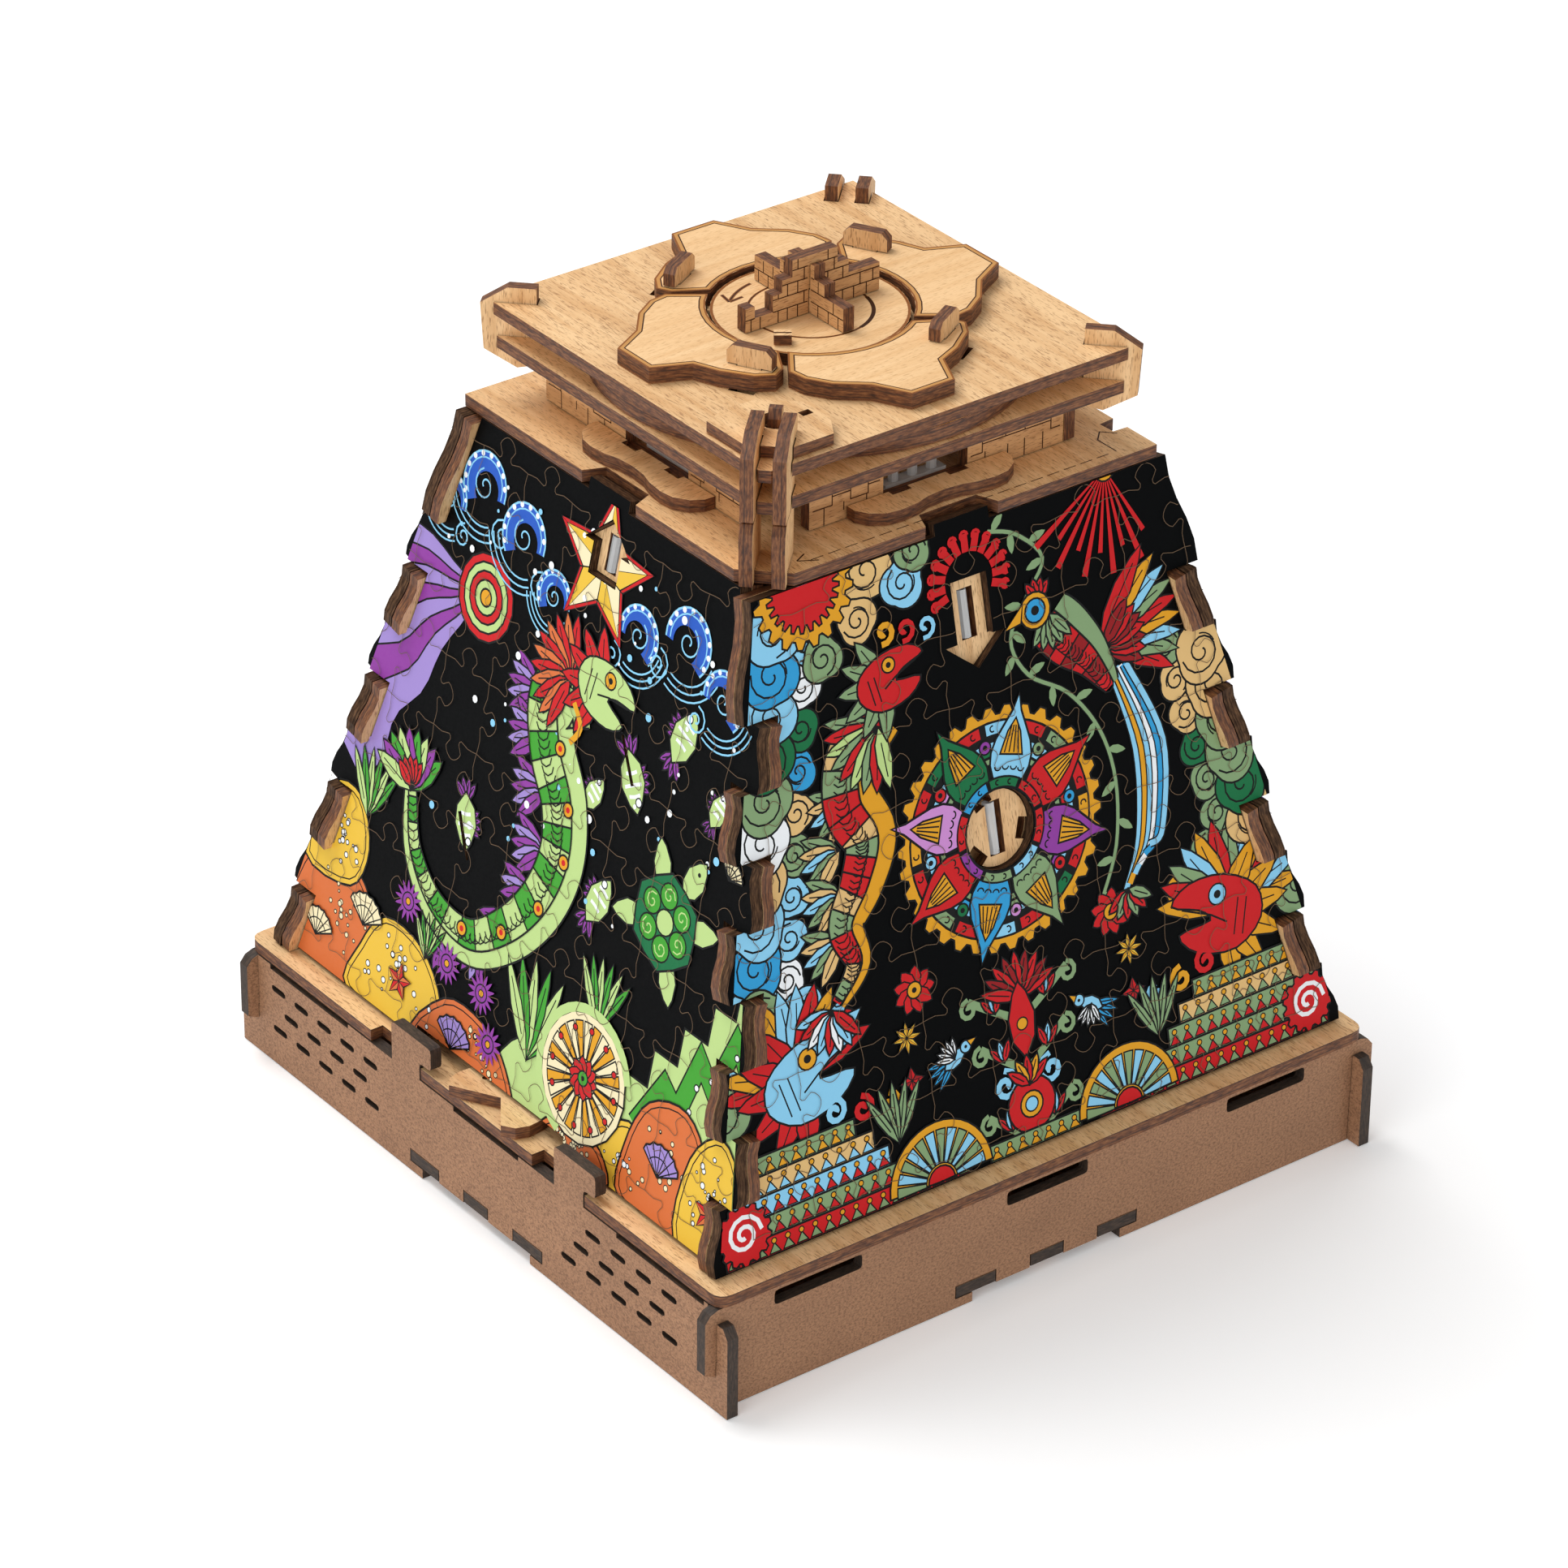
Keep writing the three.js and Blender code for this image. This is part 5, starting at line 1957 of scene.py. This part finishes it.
@dataclass
class Stonework:
    """Irregular stone courses engraved on an upright sheet.

    Args:
        canvas: where to engrave.
        seed: number that staggers the joints.
        width: line width in millimetres.
    """

    canvas: Canvas
    seed: int
    width: float = 0.32

    def wall(self, span: Point, rows: tuple[float, ...], gap: Point) -> None:
        """Engraves the courses of a wall with a window.

        Args:
            span: first and last coordinate of the wall.
            rows: heights of the course lines, from the foot to the top.
            gap: first and last coordinate of the window.
        """
        pick = random.Random(self.seed)
        for start, end in ((span[0] + 1, gap[0] - 1), (gap[1] + 1, span[1] - 1)):
            for index, (low, high) in enumerate(zip(rows, rows[1:])):
                u = start + pick.uniform(2.5, 6.0)
                path: Polygon = [(start, low)]
                while u < end - 2:
                    rise = pick.choice((0.0, (high - low) * 0.5))
                    path += [(u, path[-1][1]), (u, low + rise)]
                    joint = [(u, low + rise), (u, high)]
                    self.canvas.stroke(joint, self.width, Ink.BURN)
                    u += pick.uniform(4.5, 8.0)
                path.append((end, path[-1][1]))
                if index:
                    self.canvas.stroke(path, self.width, Ink.BURN)

    def skyline(self, runs: list[Direction], course: float) -> None:
        """Engraves level courses under a stepped outline.

        Args:
            runs: start, end and height of each step.
            course: height of a course.
        """
        for start, end, height in runs:
            for row in range(1, int(height / course) + 1):
                level = row * course
                if level < height - 0.6:
                    self.canvas.stroke([(start, level), (end, level)], self.width, Ink.BURN)
            for row in range(int(height / course) + 1):
                u = start + 1.6 + 1.9 * (row % 2)
                top = min(height, (row + 1) * course)
                while u < end - 0.8:
                    if top - row * course > 1.2:
                        joint = [(u, row * course), (u, top)]
                        self.canvas.stroke(joint, self.width, Ink.BURN)
                    u += 3.8


@dataclass
class Engravings:
    """All laser-engraved lines on the lid's plywood, and the painted shade of the dial's slots.

    Args:
        petal: outline of the front petal in millimetres, anticlockwise.
        storey: distance from the centre to the outside of a brick wall, in metres.
        plate: half the thickness of a plate of the cross, in metres.
        courses: heights of the brick walls' courses in millimetres.
    """

    petal: Polygon = field(
        default_factory=lambda: [
            *arc((0, 0), 25, -54.7, -139.6, 10), (-25, -24.5), (-24.3, -29.5), (-20.5, -35.5),
            (-13.5, -41.3), (-8.6, -50.2), (4, -50.2), (8.3, -40.8), (14.8, -38), (21.7, -33),
            (24.4, -28.5), (22.5, -25),
        ]
    )
    storey: float = 0.045
    plate: float = 0.0016
    courses: tuple[float, ...] = (191.4, 196.0, 200.5, 204.9)

    def petals(self) -> None:
        """Engraves the line that follows each petal's edge, over its scorched rim."""
        for side, name in enumerate(SIDES):
            canvas = flat_canvas(f"burn_petal_{name}", f"{name}_petal", f"petal_{name}", side * 90)
            steps = ((0.35, 0.7, Ink.TOAST), (0.9, 0.9, Ink.HALO))
            for distance, width, ink in steps:
                canvas.stroke(inset(self.petal, distance), width, ink, closed=True)
            canvas.stroke(inset(self.petal, 1.45), 0.32, Ink.BURN, closed=True)
            canvas.build()

    def dial(self) -> None:
        """Engraves the dial's circle and the curved arrow, and paints its slots as wide dark bands
        of painted shade.
        """
        canvas = flat_canvas("burn_dial", "dial", "dial_disc")
        canvas.stroke(ring((0, 0), 23.5, 60), 0.7, Ink.TOAST, closed=True)
        burn(canvas, ring((0, 0), 15.0, 48), 0.3, closed=True)
        # Painted shade: the two wide dark bands in burn ink stand in for the dial's slots, openings
        # that hold only shade.
        canvas.stroke(arc((0, 0), 15.0, -75, -10, 16), 1.0, Ink.BURN)
        canvas.stroke(arc((0, 0), 15.0, 20, 62, 12), 1.0, Ink.BURN)
        burn(canvas, arc((0, 0), 19.5, 100, 131, 10), 0.4)
        tip = polar((0, 0), 19.5, 133)
        for angle in (0, 75):
            burn(canvas, [tip, polar(tip, 4.2, angle + 5)], 0.4)
        canvas.build()

    def collar(self) -> None:
        """Engraves the guide lines on the collar."""
        canvas = flat_canvas("burn_collar", "lid", "collar_plate")
        for start in range(-42, 46, 5):
            canvas.stroke([(start, -56), (start + 3.6, -56)], 0.3, Ink.BURN)
        for end in ((-41.5, -52.8), (-40.5, -57.2)):
            canvas.stroke([(-45, -54.6), end], 0.4, Ink.BURN)
        canvas.stroke([(49, -56), (49, -49), (52, -46), (55, -49)], 0.35, Ink.BURN)
        canvas.build()

    def walls(self) -> None:
        """Engraves the stonework on the four walls of the first storey."""
        spans = {"front": (-34.2, 41.5), "right": (-45, 45), "back": (-41.5, 41.5),
                 "left": (-45, 34.2)}
        for side, (name, span) in enumerate(spans.items()):
            matrix = upright_matrix(side * 90, self.storey)
            canvas = Canvas(f"burn_wall_{name}", "lid", matrix, "birch_ply")
            canvas.start(ENGRAVED)
            Stonework(canvas, side + 3).wall(span, self.courses, (-12.5, 12.5))
            canvas.build()

    def cross(self) -> None:
        """Engraves level courses on both plates of the stepped cross."""
        along_x = [(-20.4, -17.7, 6.2), (-17.7, -12.4, 3.2), (-12.4, -9.7, 7.4),
                   (-9.7, -6.7, 10.7), (-6.7, -2.2, 15.0), (2.2, 6.7, 15.0), (6.7, 10.0, 10.8),
                   (10.0, 19.3, 7.2)]
        along_y = [(-14.8, -7.4, 6.1), (-7.4, -3.4, 9.4), (-3.4, -2.2, 12.8), (2.2, 7.0, 12.8),
                   (7.0, 10.0, 9.6), (10.0, 20.0, 6.5)]
        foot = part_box("step_cross_a")[0].z
        plates = (("a", along_x, 0), ("b", along_y, 90))
        for name, runs, turn in plates:
            for face, spin in (("near", turn), ("far", turn + 180)):
                flipped = [(-end, -start, height) for start, end, height in runs[::-1]]
                canvas = Canvas(f"burn_cross_{name}_{face}", "dial",
                                upright_matrix(spin, self.plate, foot), "birch_ply")
                canvas.start(ENGRAVED)
                Stonework(canvas, 1, 0.3).skyline(runs if spin == turn else flipped, 3.1)
                canvas.build()

    def build(self) -> None:
        """Engraves everything."""
        for part in (self.petals, self.dial, self.collar, self.walls, self.cross):
            part()


# ---- Wood, board and acrylic --------------------------------------------------------------


@dataclass
class Sheets:
    """Gives every CAD sheet its finish.

    Args:
        face: geometry of a sloped face.
    """

    face: SlopedFace = SlopedFace()

    def plan(self) -> dict[str, CutSheet | ClearAcrylic]:
        """Chooses the finish of each CAD node from how its sheet lies.

        Returns:
            Node name to finish.
        """
        up, x, y = (0, 0, 1), (1, 0, 0), (0, 1, 0)
        level = SandedPlywood("sanded_plywood_level", SheetAxes(up, y))
        level_x = SandedPlywood("sanded_plywood_level_cross", SheetAxes(up, x))
        smooth_face = SandedPlywood(
            "sanded_plywood_fine", SheetAxes(up, x), pale="EBC390", warm="DDB07A", pore="C0935F")
        board = (RawFibreboard("raw_fibreboard_facing_y", SheetAxes(y, x)),
                 RawFibreboard("raw_fibreboard_facing_x", SheetAxes(x, y)),
                 RawFibreboard("raw_fibreboard_level", SheetAxes(up, x)))
        finishes = {name: level for name in (
            "lid_base_plate", "cap_lower_plate", "cap_top_plate", "corner_plate", "collar_plate",
            "slide_key", "rotor")}
        toasted = [
            SandedPlywood(f"smoke_toasted_plywood_{end}", axes, pale="D0A06C", warm="B07F4E",
                          pore="7A4E2A")
            for end, axes in (("a", SheetAxes(y, x)), ("b", SheetAxes(x, y)))
        ]
        finishes |= {"dial_disc": smooth_face, "dial_axle": level, "dial_nub": level_x,
                     "step_cross_a": toasted[0], "step_cross_b": toasted[1],
                     "plinth_floor": board[2]}
        for side, name in enumerate(SIDES):
            finishes[f"plinth_wall_{name}"] = board[side % 2]
            finishes[f"brick_wall_{name}"] = toasted[side % 2]
            finishes[f"latch_{name}"] = level_x if side % 2 else level
            finishes[f"petal_{name}"] = smooth_face
            tilted = SheetAxes(self.face.normal(side), self.face.uphill(side))
            finishes[f"face_{name}"] = BlackLacquer(f"black_lacquered_plywood_{name}", tilted)
            finishes[f"backing_{name}"] = SandedPlywood(f"sanded_plywood_slope_{name}", tilted)
            out = math.radians(-60.8 + 90 * side)
            radial = (math.cos(out), math.sin(out), 0.0)
            finishes[f"handle_{name}"] = SandedPlywood(
                f"sanded_plywood_handle_{name}", SheetAxes(radial, up))
        for name in ("wheel_disc", "wheel_retainer", "arrow_front"):
            finishes[name] = finishes["backing_front"]
        finishes["arrow_left"] = finishes["backing_left"]
        diagonals = (SheetAxes((HALF_ROOT, HALF_ROOT, 0), up),
                     SheetAxes((HALF_ROOT, -HALF_ROOT, 0), up))
        radial_a = SandedPlywood("sanded_plywood_diagonal_a", diagonals[0])
        radial_b = SandedPlywood("sanded_plywood_diagonal_b", diagonals[1])
        finishes |= {name: radial_a for name in ("bracket_left", "bracket_right")}
        finishes |= {name: radial_b for name in (
            "bracket_far_a", "bracket_far_b", "bracket_near_a", "bracket_near_b",
            "lower_clamp_left", "lower_clamp_right", "corner_lock")}
        clear = ClearAcrylic("polished_cast_acrylic")
        finishes |= {name: clear for name in (
            "wheel_rod", "arrow_rod_front", "arrow_rod_left", "pin_rack_front", "pin_rack_left")}
        return finishes

    def build(self) -> None:
        """Puts the finishes on the CAD nodes."""
        made: dict[CutSheet | ClearAcrylic, bpy.types.Material] = {}
        for node, finish in self.plan().items():
            if finish not in made:
                made[finish] = finish.build()
            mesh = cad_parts[node].data
            mesh.materials.clear()
            mesh.materials.append(made[finish])
            log.info("%s: %s", node, finish.name)


# ---- Studio -------------------------------------------------------------------------------


@dataclass(frozen=True)
class Studio:
    """White floor, soft light and the camera.

    Args:
        azimuth: camera direction in degrees, negative to the left of the front.
        elevation: camera height above the horizon in degrees.
        roll: turn about the line of sight in degrees.
        distance: camera to aim point in metres.
        aim_z: height of the aim point in metres.
        shift_right: aim point's offset to the right in metres.
        lens: focal length in millimetres.
        sensor: width of the sensor in millimetres.
        lamp_aim: height the lamps point at, in metres.
        reach: half the floor's width in metres.
        drop: gap between floor and box in metres, which keeps their faces apart.
        sky: strength of the white surroundings.
    """

    azimuth: float = -37.351
    elevation: float = 30.594
    roll: float = 0.629
    distance: float = 1.7155
    aim_z: float = 0.089659
    shift_right: float = -0.005024
    lens: float = 159.84
    sensor: float = 36.0
    lamp_aim: float = 0.1
    reach: float = 6.0
    drop: float = 0.0002
    sky: float = 0.5

    def camera(self) -> None:
        """Places the camera and makes it the scene's."""
        a, e, r = (math.radians(x) for x in (self.azimuth, self.elevation, self.roll))
        back = Vector((math.sin(a) * math.cos(e), -math.cos(a) * math.cos(e), math.sin(e)))
        right = Vector((0, 0, 1)).cross(back).normalized()
        up = back.cross(right)
        x_axis = right * math.cos(r) + up * math.sin(r)
        y_axis = up * math.cos(r) - right * math.sin(r)
        data = bpy.data.cameras.new("camera")
        data.lens, data.sensor_width = self.lens, self.sensor
        data.clip_start, data.clip_end = 0.05, 20.0
        camera = bpy.data.objects.new("camera", data)
        bpy.context.scene.collection.objects.link(camera)
        place = Vector((0, 0, self.aim_z)) + right * self.shift_right + back * self.distance
        columns = Matrix((x_axis, y_axis, back)).transposed().to_4x4()
        camera.matrix_world = Matrix.Translation(place) @ columns
        bpy.context.scene.camera = camera

    def light(self, name: str, place: Direction, size: float, power: float) -> None:
        """Adds a square soft light that points at the box.

        Args:
            name: light name.
            place: where it stands, in metres.
            size: side of the square.
            power: watts.
        """
        data = bpy.data.lights.new(name, "AREA")
        data.size, data.energy = size, power
        lamp = bpy.data.objects.new(name, data)
        bpy.context.scene.collection.objects.link(lamp)
        lamp.location = place
        aim = Vector((0, 0, self.lamp_aim)) - Vector(place)
        lamp.rotation_euler = aim.to_track_quat("-Z", "Y").to_euler()

    def floor(self) -> None:
        """Lays the pale floor, which isn't part of the box."""
        mesh = bpy.data.meshes.new("floor")
        signs = ((-1, -1), (1, -1), (1, 1), (-1, 1))
        corners = [(x * self.reach, y * self.reach, 0) for x, y in signs]
        mesh.from_pydata(corners, [], [(0, 1, 2, 3)])
        mesh.materials.append(Surface("pale_studio_floor").finish({
            "Base Color": (0.95, 0.95, 0.95, 1.0), "Roughness": 0.8,
            "Emission Color": (1.0, 1.0, 1.0, 1.0), "Emission Strength": 0.14,
        }))
        piece = bpy.data.objects.new("floor", mesh)
        bpy.context.scene.collection.objects.link(piece)
        piece.location.z = -self.drop

    def build(self) -> None:
        """Sets up the floor, world, lights and camera."""
        scene = bpy.context.scene
        scene.view_settings.view_transform = "Standard"
        world = bpy.data.worlds.new("studio")
        world.use_nodes = True
        feed(world.node_tree.nodes["Background"], {0: (1.0, 1.0, 1.0, 1.0), 1: self.sky})
        scene.world = world
        self.floor()
        self.light("overhead", (-0.25, 0.7, 1.5), 0.9, 17.0)
        self.light("left_fill", (-1.7, -0.6, 0.8), 1.2, 12.0)
        self.light("front_fill", (0.5, -1.9, 0.7), 1.2, 6.5)
        self.camera()


def main() -> None:
    """Builds each part of the scene in order and reports it."""
    logging.basicConfig(level=logging.INFO, format="%(name)s: %(message)s")
    for part in (Sheets(), PrintedFaces(), Engravings(), Studio()):
        part.build()
        log.info("%s done", type(part).__name__)


if __name__ == "__main__":
    main()
